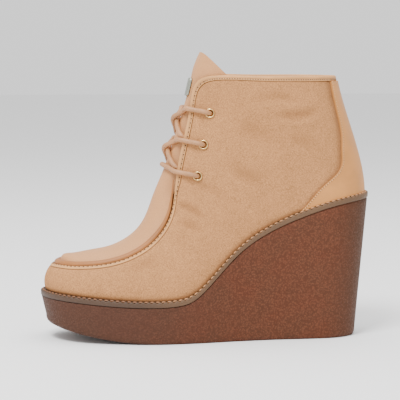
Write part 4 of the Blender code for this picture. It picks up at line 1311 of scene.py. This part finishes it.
def build_upper(sizes):
    """Suede vamp and quarters with their lining: one wall with soft folds."""
    lanes = even_lanes(0.0, 2 * SPAN, UPPER_STEP)[:-1]
    lip = lip_drop(lanes, sizes)[:, None]
    drops = np.hstack([0 * lip, lip * 0.5, lip + WALL_STEPS])
    top = wall_shares(lanes, drops)[:, ::-1]
    low = np.linspace(0, 1, SUEDE_ROWS)[None, :-1] * top[:, :1]
    shares = np.hstack([low, top])
    lengths = rib_lengths(lanes)[:, None]
    below_lip = (1 - shares) * lengths - np.maximum(band(lanes), sizes.lip)[:, None]
    flat = layer(lanes, shares, 0.0)
    folds = fold_height(flat[..., 0], flat[..., 1], flat[..., 2], sizes.fold_depth)
    near = near_lane(lanes)[:, None]
    counter_start = counter_edge(shares)
    rest = ease(below_lip, 0.0, FOLD_OFF_LIP) * ease(shares, 0.0, FOLD_OFF_WELT)
    rest = rest * (1 - ease(near, counter_start - FOLD_OFF_COUNTER, counter_start))
    # Painted shade in the lip's groove, painted shadow at the foot over the welt, painted shade beside the
    # counter's edge
    groove = bell(below_lip - 0.0001, LIP_GROOVE_WIDTH)
    foot = bell(shares * lengths, FOOT_SHADE_HEIGHT)
    counter_edge_shade = bell(near - counter_start, COUNTER_SHADE_LANES) * (shares > 0.02)
    outer = layer(lanes, shares, folds * rest - LIP_GROOVE_DEPTH * groove)
    inner_shares = np.linspace(1, 0, LINING_ROWS)[None, :] * shares[:, -1:]
    inner = layer(lanes, inner_shares, -WALL)
    sections = np.concatenate([outer, inner], axis=1)
    slots = np.array([0] * outer.shape[1] + [1] * inner.shape[1])
    blank = np.zeros(inner.shape[:2])
    # Painted shade in the troughs of the folds
    fold = np.clip(-folds * rest / FOLD_SHADE_DEPTH, 0, 1)
    seam = LIP_SHADE * groove + FOOT_SHADE * foot + COUNTER_SHADE * counter_edge_shade
    seam = np.clip(seam, 0, 1)
    shades = {"fold": np.hstack([fold, blank]), "seam": np.hstack([seam, blank])}
    finishes = ("suede", "lining_leather")
    upper = section_piece("suede_upper", sections, finishes, True, slots, shades)
    cut_eyelet_holes(upper)
    return settle(upper, ("upper",))


def axes_round(direction):
    """Two directions square to the given one."""
    first = unit(np.cross(direction, np.array([0.0, 0.0, 1.0])))
    return first, np.cross(direction, first)


def turned_sections(centre, direction, profile, segments):
    """Cross sections of a ring turned about an axis, from its radii and heights."""
    first, second = axes_round(direction)
    angles = np.arange(segments) * 2 * math.pi / segments
    radial = np.cos(angles)[:, None] * first + np.sin(angles)[:, None] * second
    profile = np.array(profile)
    across = radial[:, None, :] * profile[None, :, :1]
    return centre + across + direction * profile[None, :, 1:]


# Number from the bottom, and side
EYELETS = [(number, side) for number in range(3) for side in (-1, 1)]


def cut_eyelet_holes(upper):
    """Holes through the wall for the six eyelets."""
    points, faces = [], []
    segments = HOLE_SIDES
    radius = EYELET_HOLE / 2 + EYELET_BARREL + CLEAR / 2
    for number, side in EYELETS:
        centre, out = eyelet_frame(number, side)
        first, second = axes_round(out)
        start = len(points)
        for height in (-2.5 * WALL, 2.5 * WALL):
            for k in range(segments):
                angle = 2 * math.pi * k / segments
                radial = math.cos(angle) * first + math.sin(angle) * second
                points.append(centre + radial * radius + out * height)
        faces += [[start + i for i in face] for face in ring_faces(2, segments, False).tolist()]
        faces.append([start + k for k in range(segments)])
        faces.append([start + segments + k for k in range(segments)])
    cutter = make_piece("hole_cutter", np.array(points), faces, ("hole_shade",))
    cut = upper.modifiers.new("holes", "BOOLEAN")
    cut.operation = "DIFFERENCE"
    cut.solver = "EXACT"
    cut.object = cutter
    plain(upper)
    bpy.data.objects.remove(cutter)


def stitch_drop(lanes, sizes):
    """Distance of the stitch line below the top edge."""
    near = near_lane(lanes)
    turn = ease(near, rib_at(LIP_TURN_START), rib_at(STITCH_TURN_END))
    throat = turn * (THROAT_BAND - THROAT_STITCH_INSET - sizes.seam_line)
    collar = ramp(near, rib_at(COLLAR_BAND_RIB - 1), rib_at(COLLAR_BAND_RIB))
    return sizes.seam_line + throat + collar * (COLLAR_BAND - THROAT_BAND)


def build_binding(sizes):
    """Folded edge: the lip beside the moccasin seam, the throat's edges and the collar."""
    lanes = even_lanes(0.0, 2 * SPAN, BINDING_STEP, head=1.0)[:-1]
    line = stitch_drop(lanes, sizes)
    width = np.maximum(band(lanes), sizes.lip)
    full = ease(near_lane(lanes), rib_at(LIP_TURN_START), rib_at(LIP_TURN_END))
    proud, mid = BAND_PROUD, WALL / 2
    turn = mid + proud
    # Each pair is a drop below the top edge and a height over the skin. The first list is the
    # lip that lies on the skin beside the moccasin seam, the second the edge that is folded
    # round the wall at throat and collar. Both go from the outer foot over to the inner one.
    seam = [
        (width, -0.0003), (width, 0.00002), (width - 0.00015, 0.00022), (width - 0.00055, 0.0004),
        ((width + line) / 2 + 0.0001, 0.00046), (line + 0.00075, 0.00038), (line + 0.00035, 0.00015),
        (line, -0.00005), (line - 0.0003, -0.00002), (0.0003, 0.0), (0.0002, -0.00005),
        (0.00015, -0.0001), (0.00015, -0.00014), (0.00015, -0.00018), (0.00015, -0.00022),
        (0.00015, -0.00026), (0.0003, -0.0003), (line, -0.0003),
    ]
    edge = [
        (width, -mid), (width, 0.00005), (width - 0.00012, 0.00025), (width - 0.00035, 0.00038),
        ((width + line) / 2, 0.00044), (line + 0.0004, 0.00036), (line + 0.00018, 0.0002),
        (line, 0.0001), (line - 0.0003, 0.00026), (line * 0.6, 0.00046), (turn, proud),
    ]
    for angle in np.radians([35, 65, 90, 115, 145, 180]):
        edge.append((turn * (1 - math.sin(angle)), -mid + turn * math.cos(angle)))
    edge.append((width, -(WALL + proud)))
    columns = []
    lengths = rib_lengths(lanes)
    for (drop_a, depth_a), (drop_b, depth_b) in zip(seam, edge):
        drop = drop_a + (drop_b - drop_a) * full
        depth = depth_a + (depth_b - depth_a) * full
        columns.append(layer(lanes, (1 - drop / lengths)[:, None], depth[:, None]))
    sections = np.concatenate(columns, axis=1)
    # Painted shade under the lip's outer foot and in the groove of the stitches
    column_shades = np.array([1.0, 0.8, 0.2, 0, 0, 0.1, 0.45, 0.8, 0.45, 0.1] + [0] * 8)
    shades = {"seam": np.tile(column_shades, len(lanes))}
    binding = section_piece("folded_edge_binding", sections, ("folded_leather",), True, None, shades)
    return settle(binding, ("collar_binding",))


def build_bead(sizes):
    """Raised seam round the apron, gathered a little at each stitch."""
    tip = rib_at(BEAD_TIP)
    lanes = even_lanes(-tip, tip, BEAD_STEP, head=1.0)
    angles = np.arange(BEAD_SIDES) * 2 * math.pi / BEAD_SIDES
    centres = np.array([bead_centre(lane) for lane in lanes])
    run = travel(centres)
    sections = []
    for lane, centre, reached in zip(lanes, centres, run):
        near = float(near_lane(lane))
        size = 1 - BEAD_FADE * ramp(near, rib_at(BEAD_FADE_START), rib_at(BEAD_END))
        size = size * (1 - BEAD_TIP_FADE * ramp(near, rib_at(BEAD_END), tip))
        gather = BEAD_GATHER * math.cos(2 * math.pi * reached / sizes.seam_pitch)
        climb = edge_climb(lane)
        out = skin_normals(np.array([lane]), np.array([[1.0]]))[0, 0]
        low_side = np.clip(-np.cos(angles), 0, 1)
        swell = 1 + gather * low_side
        width = np.cos(angles) * sizes.bead_width / 2 * size * swell
        height = np.sin(angles) * BEAD_HEIGHT / 2 * size * swell
        middle = centre + out * BEAD_RAISE + climb * (sizes.bead_width - BEAD_WIDTH) / 2 * size
        sections.append(middle + width[:, None] * climb + height[:, None] * out)
    bead = section_piece("apron_bead", np.array(sections), ("smooth_leather",), False)
    return settle(bead, ("apron_ridge",))


def flap_rows(lane, side, width, edges):
    """Outer and inner points of the tongue's flap behind one edge of the throat."""
    if width <= 0:
        return [np.tile(edge, (FLAP_COLUMNS, 1)) for edge in edges]
    here = mirrored(lane, side)
    drops = width * (1 - np.arange(FLAP_COLUMNS) / FLAP_COLUMNS)
    shares = (1 - drops / rib_lengths(np.array([here]))[0])[None, :]
    depth = -(WALL + TONGUE_GAP)
    return [layer([here], shares, d)[0] for d in (depth, depth - APRON_THICKNESS)]


def build_apron_tongue():
    """Nubuck apron that runs on as the tongue, behind the throat's edges."""
    lanes = even_lanes(0.0, rib_at(TONGUE_TOP_RIB), APRON_STEP, head=1.0)
    across = np.linspace(-1, 1, APRON_COLUMNS)
    arch = np.array([front_arch(lane, across) for lane in lanes])
    normals = unit(np.cross(np.gradient(arch, axis=0), np.gradient(arch, axis=1)))
    normals[0] = normals[1]
    last = len(lanes) - 1
    edge_round = 1 - TONGUE_EDGE_ROUND * ease(np.arange(last + 1), last - 3, last)
    under = arch - normals * APRON_THICKNESS * edge_round[:, None, None]
    under[0] = under[0][APRON_COLUMNS // 2]
    outer, inner, painted_shades = [], [], []
    for i, lane in enumerate(lanes):
        # Painted shade on the tongue where it passes behind the throat's edges
        deep = ease(lane, rib_at(BAND_START), rib_at(DIVE_END))
        deep = THROAT_SHADE * deep * (1 - ease(lane, rib_at(11), rib_at(11.7)))
        flap_shade = np.full(FLAP_COLUMNS, deep)
        arch_shade = deep * ease(np.abs(across), 0.45, 1.0)
        painted_shades.append(np.concatenate([flap_shade, arch_shade, flap_shade]))
        reach = ramp(lane, rib_at(DIVE_END), rib_at(FLAP_FULL))
        width = crest_value(lane, "flap") * FLAP_WIDTH * reach
        lateral = flap_rows(lane, -1, width, (arch[i, 0], under[i, 0]))
        medial = flap_rows(lane, 1, width, (arch[i, -1], under[i, -1]))
        outer.append(np.concatenate([lateral[0], arch[i], medial[0][::-1]]))
        inner.append(np.concatenate([lateral[1], under[i], medial[1][::-1]]))
    shades = {"seam": np.tile(np.array(painted_shades), (2, 1))}
    finishes = ("nubuck", "lining_leather")
    tongue = sheet_piece("nubuck_apron_tongue", np.array(outer), np.array(inner), finishes, 1, shades)
    return settle(tongue, ("apron_tongue",))


def counter_lane(height, inset=0.0):
    """Lateral lane of the counter's front edge at a share of the height, moved back a little."""
    fine = np.linspace(float(counter_edge(height)), SPAN, 60)
    points = layer(fine, [[height * 0.97 + 0.001]], 0.0)[:, 0]
    return float(np.interp(inset, travel(points), fine))


def build_counter():
    """Smooth heel counter and back stay; its columns crowd to the cut edge."""
    across = np.linspace(-1, 1, COUNTER_COLUMNS + 1)
    across = np.sign(across) * (1 - (1 - np.abs(across)) ** 1.6)
    proud = COUNTER_CLEAR + COUNTER_THICKNESS - COUNTER_SEAT
    outer, inner, painted_shades = [], [], []
    for height in np.linspace(0, 1, COUNTER_ROWS) ** 1.3:
        edge = counter_lane(height)
        lanes = SPAN + across * (SPAN - edge)
        top = wall_shares(lanes, np.zeros(1))
        shares = top * height
        points = layer(lanes, shares, 0.0)[:, 0]
        run = travel(points)
        inside = np.minimum(run, run[-1] - run)
        bevel = np.sqrt(1 - (1 - ramp(inside, 0.0, COUNTER_BEVEL)) ** 2)
        depth = COUNTER_SEAT + proud * (COUNTER_EDGE_THIN + (1 - COUNTER_EDGE_THIN) * bevel)
        outer.append(layer(lanes, shares, depth[:, None])[:, 0])
        inner.append(layer(lanes, shares, COUNTER_SEAT)[:, 0])
        # Painted shade along the counter's cut edge and along its line of stitches
        cut = bell(inside, CUT_EDGE_SHADE_WIDTH)
        sewn = bell(inside - COUNTER_STITCH_INSET, SEWN_SHADE_WIDTH)
        painted_shades.append(CUT_EDGE_SHADE * cut + SEWN_SHADE * sewn)
    shades = {"seam": np.tile(np.array(painted_shades), (2, 1))}
    finishes = ("counter_leather",)
    counter = sheet_piece("heel_counter_leather", np.array(outer), np.array(inner), finishes, 0, shades)
    return settle(counter, ("heel_counter",))


def build_wedge():
    """Crepe wedge and platform in one block."""
    lanes = paired_lanes(WEDGE_STEP)
    side_top = sole_loop(lanes, WELT_REACH - WEDGE_INSET, WELT_THICKNESS + CLEAR)
    foot = tread_loop(lanes, 0.0, BEVEL_RISE)
    loops = [tread_loop(lanes, BEVEL_RUN + 0.004, 0.0), tread_loop(lanes, BEVEL_RUN, 0.0)]
    for t in (0.2, 0.4, 0.6, 0.8, 1.0):
        inset = BEVEL_RUN * (1 - t) ** 2
        loops.append(tread_loop(lanes, inset, BEVEL_RISE * t**2))
    for t in np.linspace(0.08, 0.94, 14):
        loops.append(foot + (side_top - foot) * t)
    edge = sole_loop(lanes, WELT_REACH - WEDGE_INSET - 0.0006, WELT_THICKNESS + CLEAR)
    loops += [side_top + (foot - side_top) * 0.012, edge]
    bed = -(WELT_LAP + CLEAR)
    loops.append(sole_loop(lanes, bed, WELT_THICKNESS + CLEAR))
    loops.append(sole_loop(lanes, bed, 0.0))
    wedge = stacked_piece("crepe_wedge", np.array(loops), ("crepe_rubber",))
    return settle(wedge, ("wedge_sole",))


# Section of the welt: how far outside the feather edge, how far below the sole's top, and
# the share of the notches' depth that the point takes
WELT_SECTION = (
    (-WELT_LAP, 0.0, 0.0),
    (-0.0004, 0.0, 0.0),
    (0.0006, 0.0004, 0.0),
    (0.0015, 0.0003, 0.5),
    (WELT_REACH - 0.0012, 0.0, 1.0),
    (WELT_REACH - 0.0005, 0.00012, 1.0),
    (WELT_REACH - 0.0001, 0.0005, 0.9),
    (WELT_REACH, 0.0010, 0.4),
    (WELT_REACH, 0.0020, 0.0),
    (WELT_REACH - 0.0001, 0.0030, 0.0),
    (WELT_REACH - 0.0001, WELT_THICKNESS - 0.0003, 0.0),
    (WELT_REACH - 0.0004, WELT_THICKNESS, 0.0),
    (-WELT_LAP, WELT_THICKNESS, 0.0),
)


def build_welt(sizes):
    """Welt strip, pressed down between its stitches."""
    lanes = even_lanes(0.0, 2 * SPAN, WELT_STEP, head=0.0)[:-1]
    run = travel(sole_loop(lanes, WELT_REACH, 0.0))
    count = round(run[-1] / sizes.welt_pitch)
    wave = 0.5 + 0.5 * np.cos(2 * math.pi * count * run / (run[-1] + run[1]))
    notch = WELT_NOTCH * wave**3
    columns = [sole_loop(lanes, out, drop + share * notch) for out, drop, share in WELT_SECTION]
    sections = np.stack(columns, axis=1)
    welt = section_piece("welt_strip_notched", sections, ("welt_strip",), True)
    settle(welt, ("welt",))
    path = sole_loop(np.append(lanes, lanes[:1]), WELT_REACH - WELT_STITCH_INSET, 0.0)
    pitch, length = run[-1] / count, sizes.welt_pitch * 0.74
    start = sizes.welt_pitch / 2
    stitches("welt_stitches", [path], pitch, length, WELT_THREAD, start, "welt_thread")


# Rolled edge of the sock lining: how far outside its edge, and how far below the sole's top
SOCK_SECTION = (
    (0.0, -CLEAR),
    (0.0, -0.0018),
    (-0.0003, -0.0024),
    (-0.0010, -0.0028),
    (-0.0030, -INSOLE_THICKNESS),
)


def build_insole():
    """Sock lining with a soft rolled edge."""
    lanes = paired_lanes(SOCK_STEP)
    edge = -(WALL + 2 * CLEAR)
    loops = [sole_loop(lanes, edge + outward, drop) for outward, drop in SOCK_SECTION]
    sock = stacked_piece("sock_lining", np.array(loops), ("lining_leather",))
    return settle(sock, ("insole",))


def build_eyelets(sizes):
    """Six rolled metal eyelets."""
    bore, rim = EYELET_HOLE / 2, sizes.eyelet_outer / 2
    barrel, seat = bore + EYELET_BARREL, OVERLAY_CLEAR * 0.4
    crown, height = (rim + bore) / 2, EYELET_FLANGE + OVERLAY_CLEAR
    angles = np.radians(np.linspace(0, 180, 11))
    roll = [(crown + (rim - crown) * math.cos(a), seat + height * math.sin(a)) for a in angles]
    foot = -WALL - BARREL_PAST
    profile = [(barrel, foot), (barrel, seat)] + roll + [(bore, foot)]
    for number, side in EYELETS:
        centre, out = eyelet_frame(number, side)
        sections = turned_sections(centre, out, profile, EYELET_SIDES)
        word = "lateral" if side < 0 else "medial"
        ring = section_piece(f"eyelet_ring_{word}_{number + 1}", sections, ("eyelet_metal",), True)
        settle(ring, (f"eyelet_{word}_{number + 1}",))


def strand(number, side, over):
    """Path of one strand: out of its eyelet, over the throat's edge and across the tongue.

    The points are given as distances out of the eyelet and towards the edge, and then as shares across the
    tongue's arch.
    """
    radius = bpy.context.scene.boot_sizes.lace_diameter / 2
    centre, out = eyelet_frame(number, side)
    lane = throat_lane(centre[2] + LACE_CLIMB)
    brow = layer_point(mirrored(lane, side), 1.0, radius + BAND_PROUD + 0.0002)
    to_brow = unit(brow - centre)
    rise = EYELET_FLANGE + OVERLAY_CLEAR + radius * 0.9
    route = [
        centre - out * (WALL + 0.0030) - to_brow * 0.0002,
        centre - out * 0.0006 + to_brow * 0.0002,
        centre + out * (rise * 0.62) + to_brow * 0.0017,
        centre + out * rise + to_brow * 0.0042,
        centre + (brow - centre) * 0.62 + out * (rise * 0.35),
        brow,
    ]
    if number == 0:
        for across in (0.78, 0.58, 0.38, 0.18):
            route.append(arch_over(lane, side * across, radius + 0.0004))
        return route
    below = throat_lane(PLATFORM_TOP + EYELET_FIRST + (number - 0.72) * EYELET_PITCH)
    for share in (0.10, 0.26, 0.42, 0.58, 0.74, 0.88, 1.0):
        across = side * (0.80 * (1 - share) - 0.86 * share)
        at = lane + (below - lane) * share**1.15
        hump = bell(across, 0.32)
        lift = radius + LACE_SEAT + hump * (2 * radius * 0.9 if over else 0.0)
        route.append(arch_over(at, across, lift))
    far = mirrored(below - (lane - below) * 0.06, -side)
    route.append(layer_point(far, share_below(far, 0.0020), -(WALL + TONGUE_GAP / 2)))
    route.append(layer_point(far, share_below(far, 0.0060), -(WALL + TONGUE_GAP / 2)))
    return route


def smooth_route(route):
    """Even points on a smooth curve through a route."""
    route = np.array(route)
    curve = Spline(travel(route), route)
    fine = curve(np.linspace(0, travel(route)[-1], 600))
    run = travel(fine)
    count = math.ceil(run[-1] / LACE_STEP)
    at = np.linspace(0, run[-1], count + 1)
    return np.column_stack([np.interp(at, run, fine[:, k]) for k in range(3)])


def build_laces(sizes):
    """Round lace: a straight bar at the lowest eyelets and two crossings above it."""
    tree = lace_tree()
    values = {"Diameter": sizes.lace_diameter, "Material": finish("waxed_lace")}
    halves = [strand(0, side, False) for side in (-1, 1)]
    bar = smooth_route(halves[0] + halves[1][::-1])
    mesh = path_mesh("lace_lower_bar", [bar], [np.ones(len(bar))])
    settle(run_tree("lace_lower_bar", mesh, tree, values), ("lace_bar",))
    for number, level in ((1, "low"), (2, "high")):
        lines = [smooth_route(strand(number, side, side < 0)) for side in (-1, 1)]
        thickness = []
        for line in lines:
            left = travel(line)[-1] - travel(line)
            thickness.append(LACE_FLAT + (1 - LACE_FLAT) * ease(left, 0.004, 0.009))
        name = f"lace_crossing_{level}"
        mesh = path_mesh(name, lines, thickness)
        settle(run_tree(name, mesh, tree, values), (f"lace_cross_{level}",))


def build_plate():
    """Plain metal plate with rounded corners on the front of the tongue."""
    heights = CREST(CREST_KNOTS)[:, 2]
    lane = float(np.interp(heights[-1] - PLATE_DROP, heights, CREST_KNOTS))
    base = arch_over(lane, 0.0, PLATE_SEAT)
    out = unit(arch_over(lane, 0.0, 0.001) - base)
    up = unit(CREST(lane + LANE_STEP)[0] - CREST(lane - LANE_STEP)[0])
    across = np.cross(out, up)
    sections = []
    top = OVERLAY_CLEAR + PLATE_THICKNESS
    for height, inset in ((0.0, 0.0), (top - 0.0004, 0.0), (top - 0.00012, 0.00012), (top, 0.0004)):
        ring = []
        corner = PLATE_CORNER - inset
        for k, (sx, sy) in enumerate(((1, 1), (-1, 1), (-1, -1), (1, -1))):
            for step in range(7):
                angle = math.pi / 2 * (k + step / 6)
                x = sx * (PLATE_WIDTH / 2 - PLATE_CORNER) + corner * math.cos(angle)
                y = sy * (PLATE_HEIGHT / 2 - PLATE_CORNER) + corner * math.sin(angle)
                ring.append(base + across * x + up * y + out * height)
        sections.append(ring)
    plate = section_piece("tongue_metal_plate", np.array(sections), ("plate_metal",), False)
    return settle(plate, ("tongue_plate",))


def line_below(lanes, drops, depth):
    """Line of points at distances below the top edge."""
    shares = 1 - np.asarray(drops) / rib_lengths(lanes)
    return layer(lanes, shares[:, None], depth)[:, 0]


def sew(row, lines, pitch, stitch, hole):
    """Light stitches with a dark dot of painted shade for the needle hole between each two; both have a
    length and a width.
    """
    kinds = (("stitches", stitch, 0.0, "light_thread"), ("hole_shades", hole, pitch / 2, "hole_shade"))
    for word, (length, width), start, thread in kinds:
        stitches(f"{row}_{word}", lines, pitch, length, width, start, thread)


def build_stitching(sizes):
    """Stitch rows of the moccasin seam, throat, collar and counter."""
    thread, pitch = sizes.thread, sizes.seam_pitch
    end = rib_at(SEAM_STITCH_END)
    lanes = even_lanes(-end, end, STITCH_STEP, head=1.0)
    full = ease(near_lane(lanes), rib_at(LIP_TURN_START), rib_at(LIP_TURN_END))
    height = (STITCH_PROUD + STITCH_SUNK) * full - STITCH_SUNK
    line = line_below(lanes, stitch_drop(lanes, sizes), height[:, None])
    sew("seam", [line], pitch, (pitch * 0.62, thread), (pitch * 0.40, thread * 1.9))
    pitch, start = sizes.collar_pitch, rib_at(COLLAR_STITCH_START)
    lanes = even_lanes(start, 2 * SPAN - start, STITCH_STEP, head=1.0)
    line = line_below(lanes, stitch_drop(lanes, sizes), STITCH_PROUD)
    sew("collar", [line], pitch, (pitch * 0.66, thread * 0.85), (pitch * 0.45, thread * 1.2))
    lines = []
    heights = np.linspace(0.004, 0.995, 90)
    lateral = np.array([counter_lane(h, COUNTER_STITCH_INSET) for h in heights])
    for side in (-1, 1):
        lanes = np.array([mirrored(lane, side) for lane in lateral])
        shares = wall_shares(lanes, np.zeros(1)) * heights[:, None]
        depth = COUNTER_CLEAR + COUNTER_THICKNESS + 0.00005
        lines.append(layer(lanes, shares, depth)[:, 0])
    sew("counter", lines, pitch, (pitch * 0.62, thread), (pitch * 0.40, thread))


def area_light(name, place, aim, size, power):
    """Soft square light aimed at a point."""
    data = bpy.data.lights.new(name, "AREA")
    data.size = size
    data.energy = power
    lamp = bpy.data.objects.new(name, data)
    bpy.context.scene.collection.objects.link(lamp)
    lamp.location = place
    lamp.rotation_euler = look_at(place, aim)


def look_at(place, aim):
    """Turn that points an object's -Z from one place to another."""
    return (Vector(aim) - Vector(place)).to_track_quat("-Z", "Y").to_euler()


CAMERA_AZIMUTH = -7.0
CAMERA_ELEVATION = 5.0
CAMERA_DISTANCE = 1.4
CAMERA_AIM = (-0.0042, 0.0, 0.103)
PIXEL_SIZE = 0.000755
IMAGE_PIXELS = 400
SENSOR = 0.036
FLOOR_REACH = 6.0
LIGHT_AIM = (0.0, 0.0, 0.08)


def build_stage():
    """Pale floor, soft light and the camera of the photograph."""
    scene = bpy.context.scene
    mesh = bpy.data.meshes.new("floor")
    corners = [(sx * FLOOR_REACH, sy * FLOOR_REACH, 0) for sx, sy in ((-1, -1), (1, -1), (1, 1), (-1, 1))]
    mesh.from_pydata(corners, [], [(0, 1, 2, 3)])
    floor = bpy.data.objects.new("floor", mesh)
    scene.collection.objects.link(floor)
    pale = bpy.data.materials.new("pale_floor")
    pale.use_nodes = True
    shader = pale.node_tree.nodes["Principled BSDF"]
    shader.inputs["Base Color"].default_value = (0.9, 0.9, 0.9, 1.0)
    shader.inputs["Roughness"].default_value = 0.9
    mesh.materials.append(pale)
    world = bpy.data.worlds.new("studio")
    world.use_nodes = True
    sky = world.node_tree.nodes["Background"].inputs
    sky["Color"].default_value = (1.0, 1.0, 1.0, 1.0)
    sky["Strength"].default_value = 1.2
    scene.world = world
    area_light("key", (-0.55, -0.85, 1.55), LIGHT_AIM, 0.6, 42.0)
    area_light("top", (0.1, 0.2, 1.6), LIGHT_AIM, 1.4, 17.0)
    camera_data = bpy.data.cameras.new("camera")
    camera_data.sensor_width = SENSOR * 1000
    camera_data.lens = SENSOR * 1000 * CAMERA_DISTANCE / (PIXEL_SIZE * IMAGE_PIXELS)
    camera_data.clip_end = 20.0
    camera = bpy.data.objects.new("camera", camera_data)
    scene.collection.objects.link(camera)
    azimuth, elevation = math.radians(CAMERA_AZIMUTH), math.radians(CAMERA_ELEVATION)
    back = (
        math.sin(azimuth) * math.cos(elevation),
        -math.cos(azimuth) * math.cos(elevation),
        math.sin(elevation),
    )
    camera.location = [a + CAMERA_DISTANCE * b for a, b in zip(CAMERA_AIM, back)]
    camera.rotation_euler = look_at(camera.location, CAMERA_AIM)
    scene.camera = camera


class BootOperator:
    """What every operator of the boot shares."""

    bl_options = {"REGISTER", "UNDO"}

    @property
    def sizes(self):
        """Sizes set in the sidebar."""
        return bpy.context.scene.boot_sizes


class BOOT_OT_stage(BootOperator, bpy.types.Operator):
    """Add the floor, the light and the camera."""

    bl_idname = "boot.stage"
    bl_label = "Stage"

    def execute(self, context):
        build_stage()
        return {"FINISHED"}


class BOOT_OT_wedge(BootOperator, bpy.types.Operator):
    """Build the crepe wedge and platform."""

    bl_idname = "boot.wedge"
    bl_label = "Crepe wedge"

    def execute(self, context):
        build_wedge()
        return {"FINISHED"}


class BOOT_OT_welt(BootOperator, bpy.types.Operator):
    """Build the welt and its stitches."""

    bl_idname = "boot.welt"
    bl_label = "Welt"

    def execute(self, context):
        build_welt(self.sizes)
        return {"FINISHED"}


class BOOT_OT_insole(BootOperator, bpy.types.Operator):
    """Build the sock lining."""

    bl_idname = "boot.insole"
    bl_label = "Sock lining"

    def execute(self, context):
        build_insole()
        return {"FINISHED"}


class BOOT_OT_upper(BootOperator, bpy.types.Operator):
    """Build the suede vamp and quarters."""

    bl_idname = "boot.upper"
    bl_label = "Suede upper"

    def execute(self, context):
        build_upper(self.sizes)
        return {"FINISHED"}


class BOOT_OT_apron(BootOperator, bpy.types.Operator):
    """Build the apron with its tongue and the raised seam."""

    bl_idname = "boot.apron"
    bl_label = "Apron and tongue"

    def execute(self, context):
        build_apron_tongue()
        build_bead(self.sizes)
        return {"FINISHED"}


class BOOT_OT_trims(BootOperator, bpy.types.Operator):
    """Build the folded edge, the collar binding and the heel counter."""

    bl_idname = "boot.trims"
    bl_label = "Binding and counter"

    def execute(self, context):
        build_binding(self.sizes)
        build_counter()
        return {"FINISHED"}


class BOOT_OT_stitching(BootOperator, bpy.types.Operator):
    """Sew the seam, throat, collar and counter."""

    bl_idname = "boot.stitching"
    bl_label = "Stitching"

    def execute(self, context):
        build_stitching(self.sizes)
        return {"FINISHED"}


class BOOT_OT_lacing(BootOperator, bpy.types.Operator):
    """Build the eyelets, the lace and the tongue's plate."""

    bl_idname = "boot.lacing"
    bl_label = "Eyelets, lace and plate"

    def execute(self, context):
        build_eyelets(self.sizes)
        build_laces(self.sizes)
        build_plate()
        return {"FINISHED"}


OPERATORS = (
    BOOT_OT_stage,
    BOOT_OT_wedge,
    BOOT_OT_welt,
    BOOT_OT_insole,
    BOOT_OT_upper,
    BOOT_OT_apron,
    BOOT_OT_trims,
    BOOT_OT_stitching,
    BOOT_OT_lacing,
)


class BOOT_PT_panel(bpy.types.Panel):
    """Sidebar panel with the boot's sizes, colours and operators."""

    bl_idname = "BOOT_PT_panel"
    bl_label = "Wedge Ankle Boot"
    bl_space_type = "VIEW_3D"
    bl_region_type = "UI"
    bl_category = "Boot"

    def draw(self, context):
        column = self.layout.column()
        for group in (context.scene.boot_sizes, context.scene.boot_colours):
            for name in group.__annotations__:
                column.prop(group, name)
        for operator in OPERATORS:
            column.operator(operator.bl_idname)


CLASSES = (BootSizes, BootColours) + OPERATORS + (BOOT_PT_panel,)


def register():
    """Register the classes and attach the settings to the scene."""
    for item in CLASSES:
        bpy.utils.register_class(item)
    bpy.types.Scene.boot_sizes = bpy.props.PointerProperty(type=BootSizes)
    bpy.types.Scene.boot_colours = bpy.props.PointerProperty(type=BootColours)


def unregister():
    """Undo register."""
    del bpy.types.Scene.boot_colours
    del bpy.types.Scene.boot_sizes
    for item in reversed(CLASSES):
        bpy.utils.unregister_class(item)


def main():
    """Build every piece in order."""
    register()
    for operator in OPERATORS:
        group, name = operator.bl_idname.split(".")
        getattr(getattr(bpy.ops, group), name)()


if __name__ == "__main__":
    main()
